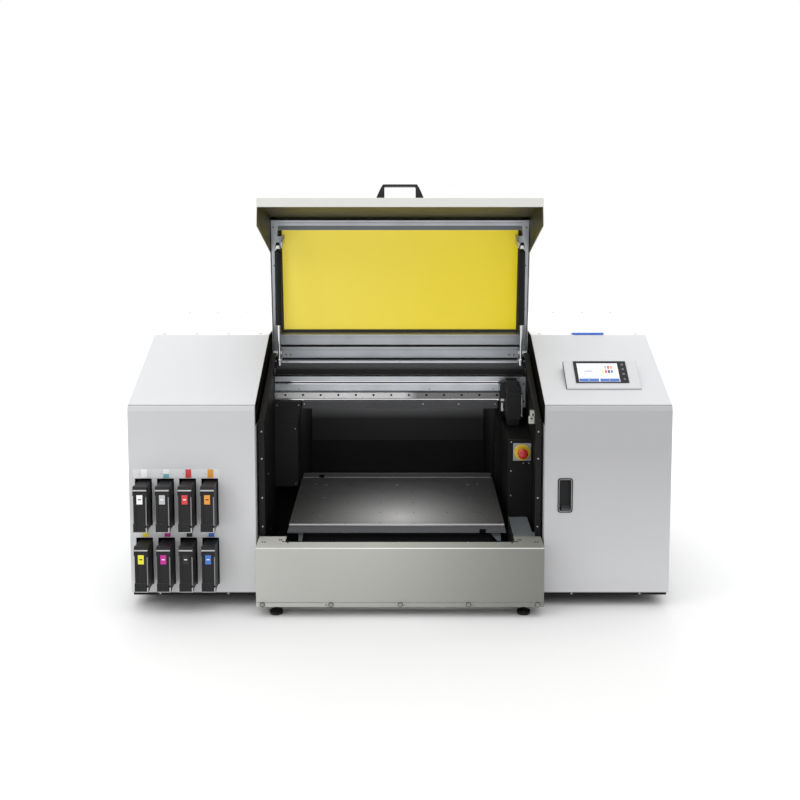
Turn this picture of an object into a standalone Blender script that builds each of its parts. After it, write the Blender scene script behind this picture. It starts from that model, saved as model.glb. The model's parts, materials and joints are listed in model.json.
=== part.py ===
"""Flatbed UV printer: two cabinets, a moving print table between them and a hinged lid above.

Metres, +Z up, the user stands at -Y.  The lid is modelled open.  Depths (y) in the dimensions
below are measured back from the front of the cabinets; FRONT_Y moves them to the shared frame,
whose origin is the middle of the footprint.
"""

import math
from itertools import product

import bmesh
import bpy
from mathutils import Matrix, Vector

FRONT_Y = -0.531
CLEARANCE = 0.0005
SHARP_ANGLE = math.radians(40.0)
SHEET = 0.002

# Cabinets
CABINET_INNER = 0.4358
CABINET_OUTER = 0.818
CABINET_BACK = 0.900
PLINTH_BOTTOM = 0.034
CABINET_BOTTOM = 0.0435
PLINTH_INSET = 0.006
PANEL_DEPTH = 0.0085
PANEL_TOP = 0.607
BEND_SETBACK = 0.005
ROOF_FRONT_Z = 0.6195
ROOF_BEND_Y = 0.404
ROOF_Z = 0.7675
ROOF_SLOPE = (ROOF_Z - ROOF_FRONT_Z) / ROOF_BEND_Y
FEET = (
    ("foot_tray_left", -0.371, -0.050),
    ("foot_tray_right", 0.371, -0.050),
    ("foot_front_left", -0.700, 0.150),
    ("foot_front_right", 0.700, 0.150),
    ("foot_back_left", -0.700, 0.800),
    ("foot_back_right", 0.700, 0.800),
)

# Ink cartridges, in two rows on the left cabinet
INK_NAMES = ("white", "gloss", "red", "orange", "yellow", "magenta", "black", "cyan")
INKS_PER_ROW = 4
SLOT_LEFT_X = -0.7990
SLOT_TOP_Z = 0.3990
SLOT_WIDTH = 0.0505
SLOT_HEIGHT = 0.1455
SLOT_PITCH_X = 0.0667
SLOT_PITCH_Z = 0.1833
SLOT_DEPTH = 0.225
CARTRIDGE_WIDTH = 0.042
CARTRIDGE_HEIGHT = 0.139
CARTRIDGE_FRONT = -0.068
CARTRIDGE_BACK = 0.200

# Door and touch panel on the right cabinet
DOOR_AXIS = (CABINET_OUTER, PANEL_DEPTH + 0.0003)
CUP = (0.4758, 0.5212, 0.2943, 0.4007)
CUP_DEPTH = 0.020
CUP_LAP = 0.0025
CUP_RADIUS = 0.008
TOUCH_X = (0.5125, 0.7420)
TOUCH_SCREEN_X = (0.5428, 0.7067)
TOUCH_FRONT = (0.088, 0.6575)
TOUCH_LENGTH = 0.124
TOUCH_TILT = math.radians(33.0)
TOUCH_EDGES = (0.0215, 0.0087)
LAMP_X = (0.575, 0.678)

# Middle section
TRAY_HALF = 0.4278
TRAY_FRONT = -0.0834
TRAY_BOLTS_X = (-0.409, -0.205, 0.001, 0.204, 0.409)
BOLT_RADIUS = 0.0042
BOLT_HEIGHT = 0.0026
TRAY_TOP = 0.214
TRAY_NOTCH_HALF = 0.345
PAN_SHEET = 0.003
PAN_BOTTOM = 0.036
PAN_TOP = 0.0563
DECK_Z = PAN_TOP + CLEARANCE
SIDE_WALL_X = (0.4270, 0.4290)
SEAL_FLANGE_X = 0.4115
SEAL_FRONT_Y = 0.0295
SEAL_BOTTOM = 0.205
SEAL_LINE_Z = 0.5564
TUNNEL_X = (-0.350, 0.332)
TUNNEL_TOP = 0.500
BULKHEAD_Y = 0.5405
HOUSING_HALF = 0.4350
HOUSING_BACK = 1.1475
ACCESS_PLATE = (-0.300, 0.300, 0.120, 0.420)
ACCESS_PLATE_THICKNESS = 0.0025
TUNNEL_BACK = 1.105
STOP_CENTRE = (0.393, 0.4150)
BOX_FRONT = 0.240
COVER_BOTTOM = 0.235

# Gantry and print carriage
GANTRY_HALF = 0.4265
RAIL_FRONT = 0.4665
GANTRY_BOTTOM = 0.531
GANTRY_TOP = 0.615

# Print table
TABLE_X = (-0.340, 0.320)
TABLE_Y = (0.034, 0.532)
TABLE_TOP = 0.246
PLATE_BOTTOM = 0.240
SKIRT_BOTTOM = 0.220
SKIRT_FLARE = 0.005
SKIRT_WALL = 0.004
LIFT_X = (-0.160, 0.140)
LIFT_Y = (0.152, 0.408)
LIFT_WALL = 0.006
LIFT_STEP = 0.0065
TRACK_X = (-0.200, 0.180)
TRACK_Y = (0.060, 1.080)
TIES = 4
TIE_WIDTH = 0.050
RUNNER_HALF = 0.030
TRACK_TOP = 0.0853

# Lid, described closed and then swung open about its hinge
HINGE = (0.450, 0.695)
LID_OPEN_ANGLE = math.radians(103.0)
LID_HALF = 0.4328
LID_RIDGE_Z = 0.614
LID_SLOPE = 0.38
LID_ANGLE = math.atan(LID_SLOPE)
LID_BOTTOM = 0.2165
LID_LIP = 0.028
LID_BACK = 0.448
CHEEK_DEPTH = 0.085
FRAME_INNER = -0.052
FRAME_OUTER = -0.020
WINDOW_S = (0.0314, 0.3829)
KNUCKLE_RADIUS = 0.0115

# Gas springs between the side walls and the lid frame
SPRING_X = 0.400
SPRING_FOOT = (0.380, 0.672)
SPRING_HEAD = (0.370, 1.0735)
SPRING_EYE = 0.007
ROD_RADIUS = 0.00425
ROD_LENGTH = 0.2825
TUBE_RADIUS = 0.011
TUBE_BORE = 0.006
TUBE_START = 0.136

SIDES = (("left", -1), ("right", 1))

MATERIALS = {
    "cabinet_white": ((0.80, 0.81, 0.83), 0.0, 0.45),
    "tray_beige": ((0.62, 0.62, 0.58), 0.0, 0.45),
    "lid_white": ((0.78, 0.78, 0.76), 0.0, 0.45),
    "black_metal": ((0.018, 0.018, 0.019), 0.1, 0.45),
    "dark_grey_metal": ((0.075, 0.077, 0.082), 0.2, 0.45),
    "blue_grey_metal": ((0.15, 0.17, 0.19), 0.1, 0.45),
    "aluminium": ((0.62, 0.64, 0.67), 1.0, 0.35),
    "steel": ((0.70, 0.70, 0.71), 1.0, 0.25),
    "table_metal": ((0.11, 0.11, 0.115), 0.7, 0.35),
    "black_plastic": ((0.025, 0.025, 0.026), 0.0, 0.50),
    "grey_plastic": ((0.33, 0.34, 0.35), 0.0, 0.50),
    "yellow_acrylic": ((0.80, 0.66, 0.05), 0.0, 0.15),
    "red_plastic": ((0.60, 0.03, 0.03), 0.0, 0.35),
    "blue_lamp": ((0.02, 0.20, 0.80), 0.0, 0.30),
    "screen_glass": ((0.03, 0.03, 0.035), 0.0, 0.12),
    "rubber": ((0.02, 0.02, 0.02), 0.0, 0.80),
}


def clear_scene():
    for obj in list(bpy.data.objects):
        bpy.data.objects.remove(obj, do_unlink=True)


def material(name):
    found = bpy.data.materials.get(name)
    if found:
        return found
    colour, metallic, roughness = MATERIALS[name]
    made = bpy.data.materials.new(name)
    made.use_nodes = True
    shader = made.node_tree.nodes["Principled BSDF"]
    shader.inputs["Base Color"].default_value = (*colour, 1.0)
    shader.inputs["Metallic"].default_value = metallic
    shader.inputs["Roughness"].default_value = roughness
    made.diffuse_color = (*colour, 1.0)
    return made


def add_piece(name, bm, material_name, pivot=(0.0, 0.0, 0.0), tilt=0.0, bevel=0.0, rounded=False):
    """Object with its origin at the pivot; tilt turns it about X there, and rounded shades it smooth."""
    bmesh.ops.recalc_face_normals(bm, faces=bm.faces)
    mesh = bpy.data.meshes.new(name)
    bm.to_mesh(mesh)
    bm.free()
    mesh.transform(Matrix.Translation(-Vector(pivot)))
    mesh.materials.append(material(material_name))
    if rounded:
        mesh.shade_smooth()
        mesh.set_sharp_from_angle(angle=SHARP_ANGLE)
    obj = bpy.data.objects.new(name, mesh)
    bpy.context.collection.objects.link(obj)
    obj.location = Vector(pivot) + Vector((0.0, FRONT_Y, 0.0))
    obj.rotation_euler.x = tilt
    if bevel:
        edge = obj.modifiers.new("edges", "BEVEL")
        edge.width = bevel
        edge.segments = 1
        edge.limit_method = "ANGLE"
        edge.angle_limit = SHARP_ANGLE
    return obj


def carve(adds, cuts=(), warp=None):
    """Closed surface of the boxes in adds less those in cuts, each x0, x1, y0, y1, z0, z1."""
    boxes = [*adds, *cuts]
    grid = [sorted({round(box[2 * k + end], 6) for box in boxes for end in (0, 1)}) for k in range(3)]

    def solid(cell):
        if any(i < 0 or i >= len(axis) - 1 for i, axis in zip(cell, grid)):
            return False
        centre = [(axis[i] + axis[i + 1]) / 2 for i, axis in zip(cell, grid)]
        within = [all(box[2 * k] < centre[k] < box[2 * k + 1] for k in range(3)) for box in boxes]
        return any(within[:len(adds)]) and not any(within[len(adds):])

    bm = bmesh.new()
    corners = {}

    def corner(index):
        if index not in corners:
            point = tuple(axis[i] for i, axis in zip(index, grid))
            corners[index] = bm.verts.new(warp(*point) if warp else point)
        return corners[index]

    for cell in product(*(range(len(axis) - 1) for axis in grid)):
        if not solid(cell):
            continue
        for axis, side in product(range(3), (0, 1)):
            step = [0, 0, 0]
            step[axis] = 2 * side - 1
            if solid([i + d for i, d in zip(cell, step)]):
                continue
            loop = []
            for du, dv in ((0, 0), (1, 0), (1, 1), (0, 1)):
                index = list(cell)
                index[axis] += side
                index[(axis + 1) % 3] += du
                index[(axis + 2) % 3] += dv
                loop.append(corner(tuple(index)))
            bm.faces.new(loop if side else loop[::-1])
    bmesh.ops.dissolve_limit(bm, angle_limit=0.001, verts=bm.verts, edges=bm.edges)
    return bm


def box(*bounds):
    return carve([bounds])


def open_box(bounds, side, wall=SHEET):
    """Sheet box with one side left off, such as "+z"."""
    inside = list(inset(bounds, wall))
    missing = 2 * "xyz".index(side[1]) + (side[0] == "+")
    inside[missing] += wall + CLEARANCE if side[0] == "+" else -wall - CLEARANCE
    return carve([bounds], [tuple(inside)])


def extrude(outline, axis, low, high):
    """Outline in the two other coordinates, in x, y, z order, extruded along an axis."""
    bm = bmesh.new()
    rings = []
    for level in (low, high):
        points = [list(point) for point in outline]
        for point in points:
            point.insert("xyz".index(axis), level)
        rings.append([bm.verts.new(point) for point in points])
    bm.faces.new(rings[0])
    bm.faces.new(rings[1][::-1])
    for i in range(len(outline)):
        j = (i + 1) % len(outline)
        bm.faces.new((rings[0][i], rings[1][i], rings[1][j], rings[0][j]))
    return bm


def turned(profile, centre, direction, segments=16):
    """Radius and distance pairs revolved about a line; the first and last radius are zero."""
    bm = bmesh.new()
    rings = []
    for radius, along in profile:
        if radius == 0.0:
            rings.append([bm.verts.new((0.0, 0.0, along))])
            continue
        angles = [2 * math.pi * i / segments for i in range(segments)]
        rings.append([bm.verts.new((radius * math.cos(a), radius * math.sin(a), along)) for a in angles])
    for lower, upper in zip(rings, rings[1:]):
        for i in range(segments):
            j = (i + 1) % segments
            quad = (lower[i % len(lower)], lower[j % len(lower)], upper[j % len(upper)], upper[i % len(upper)])
            bm.faces.new(list(dict.fromkeys(quad)))
    turn = Vector((0.0, 0.0, 1.0)).rotation_difference(Vector(direction)).to_matrix().to_4x4()
    bmesh.ops.transform(bm, matrix=Matrix.Translation(centre) @ turn, verts=bm.verts)
    return bm


def combined(first, second, operation="UNION"):
    """Boolean of two solids."""
    hosts = []
    for bm in (first, second):
        bmesh.ops.recalc_face_normals(bm, faces=bm.faces)
        mesh = bpy.data.meshes.new("solid")
        bm.to_mesh(mesh)
        bm.free()
        obj = bpy.data.objects.new("solid", mesh)
        bpy.context.collection.objects.link(obj)
        hosts.append(obj)
    modifier = hosts[0].modifiers.new("combine", "BOOLEAN")
    modifier.operation = operation
    modifier.solver = "EXACT"
    modifier.object = hosts[1]
    result = bmesh.new()
    result.from_object(hosts[0], bpy.context.evaluated_depsgraph_get())
    for obj in hosts:
        mesh = obj.data
        bpy.data.objects.remove(obj, do_unlink=True)
        bpy.data.meshes.remove(mesh)
    bmesh.ops.dissolve_limit(result, angle_limit=0.001, verts=result.verts, edges=result.edges)
    return result


def sided(side, inner, outer):
    """X range from the middle outwards, on the left (-1) or right (1)."""
    return tuple(sorted((side * inner, side * outer)))


def arc(centre, radius, start, end, steps=10):
    angles = [math.radians(start + (end - start) * i / steps) for i in range(steps + 1)]
    return [(centre[0] + radius * math.cos(a), centre[1] + radius * math.sin(a)) for a in angles]


def inset(bounds, amount):
    """Low and high pairs moved inwards."""
    return tuple(edge - amount if i % 2 else edge + amount for i, edge in enumerate(bounds))


def rounded(bounds, radius):
    """Rectangle between u0, u1, v0, v1 with rounded corners."""
    u0, u1, v0, v1 = inset(bounds, radius)
    points = []
    for centre, start in (((u1, v1), 0), ((u0, v1), 90), ((u0, v0), 180), ((u1, v0), 270)):
        points += arc(centre, radius, start, start + 90, 5)
    return points


def roof_height(y):
    return min(ROOF_FRONT_Z + ROOF_SLOPE * y, ROOF_Z)


def slot_corner(index):
    """Left edge and top of one cartridge slot."""
    row, column = divmod(index, INKS_PER_ROW)
    return SLOT_LEFT_X + column * SLOT_PITCH_X, SLOT_TOP_Z - row * SLOT_PITCH_Z


# Cabinets ------------------------------------------------------------------------------------

def add_cabinet(name, side):
    x0, x1 = sided(side, CABINET_INNER, CABINET_OUTER)
    front = PANEL_DEPTH + CLEARANCE
    rim = 1.0

    def follow_roof(x, y, z):
        return (x, y, roof_height(y) - SHEET - CLEARANCE) if z == rim else (x, y, z)

    shell = carve(
        [(x0, x1, front, ROOF_BEND_Y, CABINET_BOTTOM, rim),
         (x0, x1, ROOF_BEND_Y, CABINET_BACK, CABINET_BOTTOM, rim)],
        [(x0 + SHEET, x1 - SHEET, -1.0, CABINET_BACK - SHEET, CABINET_BOTTOM + SHEET, rim + 1.0)],
        follow_roof)
    add_piece(f"{name}_cabinet_shell", shell, "cabinet_white")

    top = [(front, roof_height(front)), (ROOF_BEND_Y, ROOF_Z), (CABINET_BACK, ROOF_Z)]
    under = [(y, z - SHEET) for y, z in reversed(top)]
    add_piece(f"{name}_roof", extrude(top + under, "x", x0, x1), "cabinet_white", bevel=0.0008)

    edge = PLINTH_INSET
    plinth = open_box((x0 + edge, x1 - edge, edge, CABINET_BACK - edge, PLINTH_BOTTOM,
                       CABINET_BOTTOM - CLEARANCE), "+z")
    add_piece(f"{name}_plinth", plinth, "black_metal")


def front_panel(side, holes):
    """Folded sheet panel with a sloping bend along its top edge."""
    x0, x1 = sided(side, CABINET_INNER + CLEARANCE, CABINET_OUTER - CLEARANCE)
    bend = 1.0

    def fold(x, y, z):
        if z < bend:
            return x, y, z
        back = y + BEND_SETBACK * (1.0 - y / PANEL_DEPTH)
        return x, back, roof_height(back)

    bottom = CABINET_BOTTOM + CLEARANCE
    return carve(
        [(x0, x1, 0.0, PANEL_DEPTH, bottom, PANEL_TOP), (x0, x1, 0.0, PANEL_DEPTH, PANEL_TOP, bend)],
        [(x0 + SHEET, x1 - SHEET, SHEET, 1.0, bottom + SHEET, PANEL_TOP - SHEET), *holes],
        fold)


def add_ink_station():
    slots = []
    for index in range(len(INK_NAMES)):
        left, top = slot_corner(index)
        slots.append((left, left + SLOT_WIDTH, -1.0, SLOT_DEPTH, top - SLOT_HEIGHT, top))
    add_piece("left_front_panel", front_panel(-1, slots), "cabinet_white")

    margin = 0.012
    left, top = slot_corner(0)
    right, low = slot_corner(len(INK_NAMES) - 1)
    bay = carve(
        [(left - margin, right + SLOT_WIDTH + margin, PANEL_DEPTH + CLEARANCE, SLOT_DEPTH + margin,
          low - SLOT_HEIGHT - margin, top + margin)], slots)
    add_piece("ink_bay", bay, "black_plastic")

    for index, ink in enumerate(INK_NAMES):
        add_cartridge(f"cartridge_{ink}", index)


def add_cartridge(name, index):
    left, top = slot_corner(index)
    x0 = left + SLOT_WIDTH - CARTRIDGE_WIDTH - 0.0015
    x1 = x0 + CARTRIDGE_WIDTH
    z0 = top - SLOT_HEIGHT + 0.001
    z1 = z0 + CARTRIDGE_HEIGHT
    grip, waist, cap = 0.027, 0.0015, 0.018
    chamfer_height, chamfer_depth = 0.009, 0.006

    def chamfer(x, y, z):
        rise = max(0.0, 1.0 - (z1 - z) / chamfer_height)
        share = max(0.0, 1.0 - (y - CARTRIDGE_FRONT) / (cap / 2))
        return x, y + chamfer_depth * rise * share, z

    body = carve([
        (x0 + waist, x1 - waist, CARTRIDGE_FRONT + cap / 2, CARTRIDGE_BACK, z0 + waist, z1 - waist),
        (x0 + waist, x1 - waist, CARTRIDGE_FRONT + waist, CARTRIDGE_BACK, z0 + waist, z1 - grip),
        (x0, x1, CARTRIDGE_FRONT, CARTRIDGE_FRONT + cap, z1 - chamfer_height, z1),
        (x0, x1, CARTRIDGE_FRONT, CARTRIDGE_FRONT + cap, z1 - grip, z1 - chamfer_height),
        (x0, x1, CARTRIDGE_FRONT, CARTRIDGE_FRONT + cap, z0, z0 + grip)], (), chamfer)
    pivot = ((x0 + x1) / 2, CARTRIDGE_FRONT, (z0 + z1) / 2)
    add_piece(name, body, "black_plastic", pivot, bevel=0.0007)


def add_door():
    """Door panel, and a moulded finger cup whose rim laps over the edge of the panel's hole."""
    pivot = (*DOOR_AXIS, 0.0)
    x0, x1, z0, z1 = inset(CUP, CUP_LAP)
    add_piece("door_panel", front_panel(1, [(x0, x1, -1.0, 1.0, z0, z1)]), "cabinet_white", pivot)

    rim_front, wall = -0.0018, 0.004
    rim = extrude(rounded(CUP, CUP_RADIUS), "y", rim_front, -CLEARANCE)
    x0, x1, z0, z1 = inset(CUP, CUP_LAP + CLEARANCE)
    cup = combined(rim, box(x0, x1, rim_front / 2, CUP_DEPTH, z0, z1))
    pocket = extrude(rounded(inset(CUP, wall), CUP_RADIUS - SHEET), "y", -0.1, CUP_DEPTH - SHEET)
    add_piece("door_handle", combined(cup, pocket, "DIFFERENCE"), "black_plastic", pivot)


def add_touch_panel():
    """Wedge on the right roof with the screen on its steeper face."""
    run = Vector((math.cos(TOUCH_TILT), math.sin(TOUCH_TILT)))
    out = Vector((-run.y, run.x))
    front = Vector(TOUCH_FRONT)
    back = front + run * TOUCH_LENGTH

    def on_roof(y):
        return y, roof_height(y) + CLEARANCE

    outline = [on_roof(front.x), tuple(front), tuple(back), on_roof(back.x + 0.010)]
    add_piece("touch_panel_housing", extrude(outline, "x", *TOUCH_X), "cabinet_white", bevel=0.002)

    low = front + run * TOUCH_EDGES[0] + out * CLEARANCE
    high = back - run * TOUCH_EDGES[1] + out * CLEARANCE
    face = [low, low + out * SHEET, high + out * SHEET, high]
    add_piece("touch_screen", extrude([tuple(p) for p in face], "x", *TOUCH_SCREEN_X), "screen_glass")

    lamp_z = ROOF_Z + CLEARANCE
    lamp = box(*LAMP_X, ROOF_BEND_Y + 0.002, ROOF_BEND_Y + 0.020, lamp_z, lamp_z + 0.006)
    add_piece("status_lamp", lamp, "blue_lamp", bevel=0.0015)


def add_feet():
    for name, x, y in FEET:
        profile = [(0.0, 0.0), (0.018, 0.0), (0.020, 0.003), (0.020, 0.010), (0.012, 0.014),
                   (0.006, 0.016), (0.006, PLINTH_BOTTOM - CLEARANCE), (0.0, PLINTH_BOTTOM - CLEARANCE)]
        add_piece(name, turned(profile, (x, y, 0.0), (0, 0, 1), 24), "rubber", rounded=True)


# Middle section ------------------------------------------------------------------------------

def add_front_tray():
    half, notch = TRAY_HALF, TRAY_NOTCH_HALF
    front, back, notch_back = TRAY_FRONT, 0.016, -0.033
    bottom, top = PLINTH_BOTTOM, TRAY_TOP
    walls = [
        (-half, half, front, front + SHEET, bottom, top),
        (-half, half, front - SHEET, front, bottom, 0.046),
        (-half, -half + SHEET, front, back, bottom, top),
        (half - SHEET, half, front, back, bottom, top),
        (-half, -notch, front, back, top - SHEET, top),
        (notch, half, front, back, top - SHEET, top),
        (-half, half, front, notch_back, top - SHEET, top),
        (-half, half, front, -0.020, bottom, bottom + SHEET),
        (-notch, notch, notch_back - SHEET, notch_back, 0.180, top)]
    tray = carve(walls)
    bolt_front = front - SHEET - BOLT_HEIGHT
    bolt = [(0.0, 0.0), (BOLT_RADIUS, 0.0), (BOLT_RADIUS, BOLT_HEIGHT + SHEET / 2), (0.0, BOLT_HEIGHT + SHEET / 2)]
    for x in TRAY_BOLTS_X:
        tray = combined(tray, turned(bolt, (x, bolt_front, 0.0405), (0, 1, 0), 6))
    add_piece("front_tray", tray, "tray_beige")


def add_middle_base():
    half = CABINET_INNER - CLEARANCE
    pan = open_box((-half, half, 0.017, HOUSING_BACK - 0.004, PAN_BOTTOM, PAN_TOP), "-z", PAN_SHEET)
    add_piece("base_pan", pan, "black_metal")

    front, back = TRACK_Y
    starts = [front + (back - front - TIE_WIDTH) * i / (TIES - 1) for i in range(TIES)]
    ties = [(TRACK_X[0] - 0.05, TRACK_X[1] + 0.05, y, y + TIE_WIDTH, DECK_Z, DECK_Z + 0.006) for y in starts]
    rails = [(x - 0.012, x + 0.012, front, back, DECK_Z, TRACK_TOP) for x in TRACK_X]
    add_piece("bed_track", carve(ties + rails), "steel")


def add_inner_side(name, side):
    """Side wall of the print bay with the flange the lid closes on and the spring anchor."""
    wall_in, wall_out = SIDE_WALL_X
    top, back, flange_back = 1.0, 0.538, 0.400
    wall_x = sided(side, wall_in, wall_out)
    flange_x = sided(side, SEAL_FLANGE_X, wall_out)
    under = top - SHEET

    def slope(x, y, z):
        if z < under:
            return x, y, z
        return x, y, SEAL_LINE_Z + LID_SLOPE * y - (top - z)

    panel = carve([
        (*wall_x, SEAL_FRONT_Y, flange_back, DECK_Z, top),
        (*flange_x, SEAL_FRONT_Y, SEAL_FRONT_Y + SHEET, SEAL_BOTTOM, top),
        (*flange_x, SEAL_FRONT_Y, flange_back, under, top)], (), slope)
    rear = box(*wall_x, flange_back - 0.001, back, DECK_Z, 0.669)
    y, z = SPRING_FOOT
    anchor_x = sided(side, SPRING_X + SPRING_EYE + CLEARANCE, wall_out - 0.0005)
    anchor = box(*anchor_x, y - 0.009, y + 0.009, z - 0.009, z + 0.009)
    add_piece(f"inner_side_{name}", combined(combined(panel, rear), anchor), "black_metal")


def add_service_parts():
    inner, outer, shoulder = -0.3485, -GANTRY_HALF, -0.3345
    front, waist, top = 0.4525, 0.455, 0.530
    cover = open_box((outer, inner, front, BULKHEAD_Y - 0.001, COVER_BOTTOM, waist - CLEARANCE), "+y")
    add_piece("service_cover", cover, "dark_grey_metal")
    outline = [(outer, waist), (inner, waist), (shoulder, top), (outer, top)]
    inside = [(outer + SHEET, waist + SHEET), (inner - SHEET, waist + SHEET),
              (shoulder - 1.5 * SHEET, top - SHEET), (outer + SHEET, top - SHEET)]
    hood = extrude(outline, "y", front, BULKHEAD_Y - 0.001)
    hood = combined(hood, extrude(inside, "y", front + SHEET, BULKHEAD_Y), "DIFFERENCE")
    add_piece("service_hood", hood, "dark_grey_metal")

    control = open_box((0.349, GANTRY_HALF, BOX_FRONT, 0.530, DECK_Z, 0.4565), "+y")
    add_piece("control_box", control, "black_metal", bevel=0.0008)

    plate = carve([
        (0.3503, 0.4110, 0.0172, BOX_FRONT - 0.001, 0.197, 0.200),
        (0.3503, 0.4225, 0.0172, 0.0955, 0.197, 0.200),
        (0.3503, 0.3533, 0.0172, BOX_FRONT - 0.001, DECK_Z, 0.197)])
    add_piece("side_cover_plate", plate, "blue_grey_metal")


def add_emergency_stop():
    x, z = STOP_CENTRE
    back = BOX_FRONT - CLEARANCE
    half, stem_hole = 0.029, 0.011
    plate = carve([(x - half, x + half, back - 0.004, back, z - half, z + half)],
                  [(x - stem_hole, x + stem_hole, 0.0, 1.0, z - stem_hole, z + stem_hole)])
    add_piece("estop_plate", plate, "grey_plastic", bevel=0.001)
    profile = [(0.0, 0.0), (0.009, 0.0004), (0.013, 0.0015), (0.0158, 0.004), (0.0165, 0.007),
               (0.0165, 0.014), (0.009, 0.019), (0.009, 0.0285), (0.0, 0.0285)]
    front = back - 0.004 - 0.0295
    button = turned(profile, (x, front, z), (0, 1, 0), 24)
    add_piece("estop_button", button, "red_plastic", (x, front, z), rounded=True)


def add_tunnel():
    x0, x1 = TUNNEL_X
    wall, back = SHEET, TUNNEL_BACK
    half = HOUSING_HALF - SHEET - 0.0010
    bulk_back = BULKHEAD_Y + wall
    left = [
        (-half, x0, BULKHEAD_Y, bulk_back, DECK_Z, TUNNEL_TOP),
        (x0 - wall, x0, bulk_back, back, DECK_Z, TUNNEL_TOP)]
    right = [
        (x1, half, BULKHEAD_Y, bulk_back, DECK_Z, TUNNEL_TOP),
        (x1, x1 + wall, bulk_back, back, DECK_Z, TUNNEL_TOP)]
    rest = [
        (-half, half, BULKHEAD_Y, bulk_back, TUNNEL_TOP, ROOF_Z - SHEET - CLEARANCE),
        (x0 - wall, x1 + wall, bulk_back, back, TUNNEL_TOP, TUNNEL_TOP + wall),
        (x0 - wall, x1 + wall, back, back + wall, DECK_Z, TUNNEL_TOP + wall)]
    add_piece("tunnel_lining", carve(left + right + rest), "black_metal")

    panel = box(x0 + CLEARANCE, x1 - CLEARANCE, back - 0.004, back - CLEARANCE, 0.222, TUNNEL_TOP - 0.002)
    add_piece("rear_inner_panel", panel, "dark_grey_metal")

    half = HOUSING_HALF
    x0, x1, z0, z1 = ACCESS_PLATE
    cover = carve([(-half, half, BULKHEAD_Y - CLEARANCE, HOUSING_BACK, DECK_Z, ROOF_Z),
                   (x0, x1, HOUSING_BACK - SHEET, HOUSING_BACK + ACCESS_PLATE_THICKNESS, z0, z1)],
                  [(-half + SHEET, half - SHEET, 0.0, HOUSING_BACK - SHEET, 0.0, ROOF_Z - SHEET)])
    add_piece("rear_cover", cover, "cabinet_white", bevel=0.0008)

    inlet = carve([(0.600, 0.660, CABINET_BACK + CLEARANCE, CABINET_BACK + 0.012, 0.100, 0.145)],
                  [(0.607, 0.653, CABINET_BACK + 0.004, 2.0, 0.107, 0.138)])
    add_piece("power_inlet", inlet, "black_plastic")


def add_hinge_beam():
    """Fixed beam under the lid hinge, with one ear beside each knuckle."""
    front, web, back = 0.462, 0.478, 0.538
    top, lip, bottom = 0.669, 0.661, 0.6165
    outline = [(front, top), (front, lip), (web, lip), (web, bottom), (back, bottom), (back, top)]
    beam = extrude(outline, "x", -GANTRY_HALF, GANTRY_HALF)
    ear = arc(HINGE, KNUCKLE_RADIUS, 0.0, 180.0) + [(0.4645, top - 0.003), (0.485, top - 0.003)]
    for _, side in SIDES:
        beam = combined(beam, extrude(ear, "x", *sided(side, 0.3985, 0.4085)))
    add_piece("hinge_beam", beam, "aluminium", rounded=True)


# Gantry and print carriage -------------------------------------------------------------------

def add_gantry():
    groove_low, groove_high = 0.590, 0.5925
    face, groove, seat, lip = 0.4745, 0.4770, 0.4785, 0.4680
    outline = [(lip, GANTRY_BOTTOM), (lip, 0.5368), (seat, 0.5368), (seat, 0.5605), (face, 0.5625),
               (face, groove_low), (groove, groove_low), (groove, groove_high), (face, groove_high),
               (face, GANTRY_TOP), (0.530, GANTRY_TOP), (0.530, GANTRY_BOTTOM)]
    add_piece("gantry_beam", extrude(outline, "x", -GANTRY_HALF, GANTRY_HALF), "aluminium")

    rail = box(-GANTRY_HALF, 0.398, RAIL_FRONT, seat - CLEARANCE, 0.5375, 0.5580)
    add_piece("gantry_rail", rail, "steel", bevel=0.0008)

    bar = carve([
        (-0.331, 0.331, 0.4525, 0.4565, 0.5065, GANTRY_BOTTOM - CLEARANCE),
        (-0.331, 0.331, 0.4565, 0.510, 0.5275, GANTRY_BOTTOM - CLEARANCE)])
    add_piece("gantry_front_bar", bar, "dark_grey_metal")


def add_print_carriage():
    pivot = (0.380, 0.414, 0.532)
    body = carve([
        (0.3550, 0.4035, 0.380, 0.448, 0.486, 0.578),
        (0.3550, 0.3920, 0.386, 0.440, 0.578, 0.614),
        (0.3920, 0.4020, 0.386, 0.425, 0.578, 0.597),
        (0.3380, 0.3550, 0.438, 0.448, 0.500, 0.600),
        (0.3380, 0.4000, 0.448, RAIL_FRONT - CLEARANCE, 0.536, 0.5625)])
    add_piece("print_carriage", body, "black_plastic", pivot, bevel=0.001)
    head = carve([
        (0.3600, 0.3990, 0.388, 0.442, 0.466, 0.486 - CLEARANCE),
        (0.3640, 0.3950, 0.392, 0.438, 0.4605, 0.466)])
    add_piece("print_head", head, "steel", pivot)


# Print table ---------------------------------------------------------------------------------

def tube_walls(inset, bottom, top, wall=LIFT_WALL):
    """Four walls of one upright stage of the lift, set in from the outermost stage."""
    x0, x1 = LIFT_X[0] + inset, LIFT_X[1] - inset
    y0, y1 = LIFT_Y[0] + inset, LIFT_Y[1] - inset
    return [(x0, x1, y0, y0 + wall, bottom, top), (x0, x1, y1 - wall, y1, bottom, top),
            (x0, x0 + wall, y0, y1, bottom, top), (x1 - wall, x1, y0, y1, bottom, top)]


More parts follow.
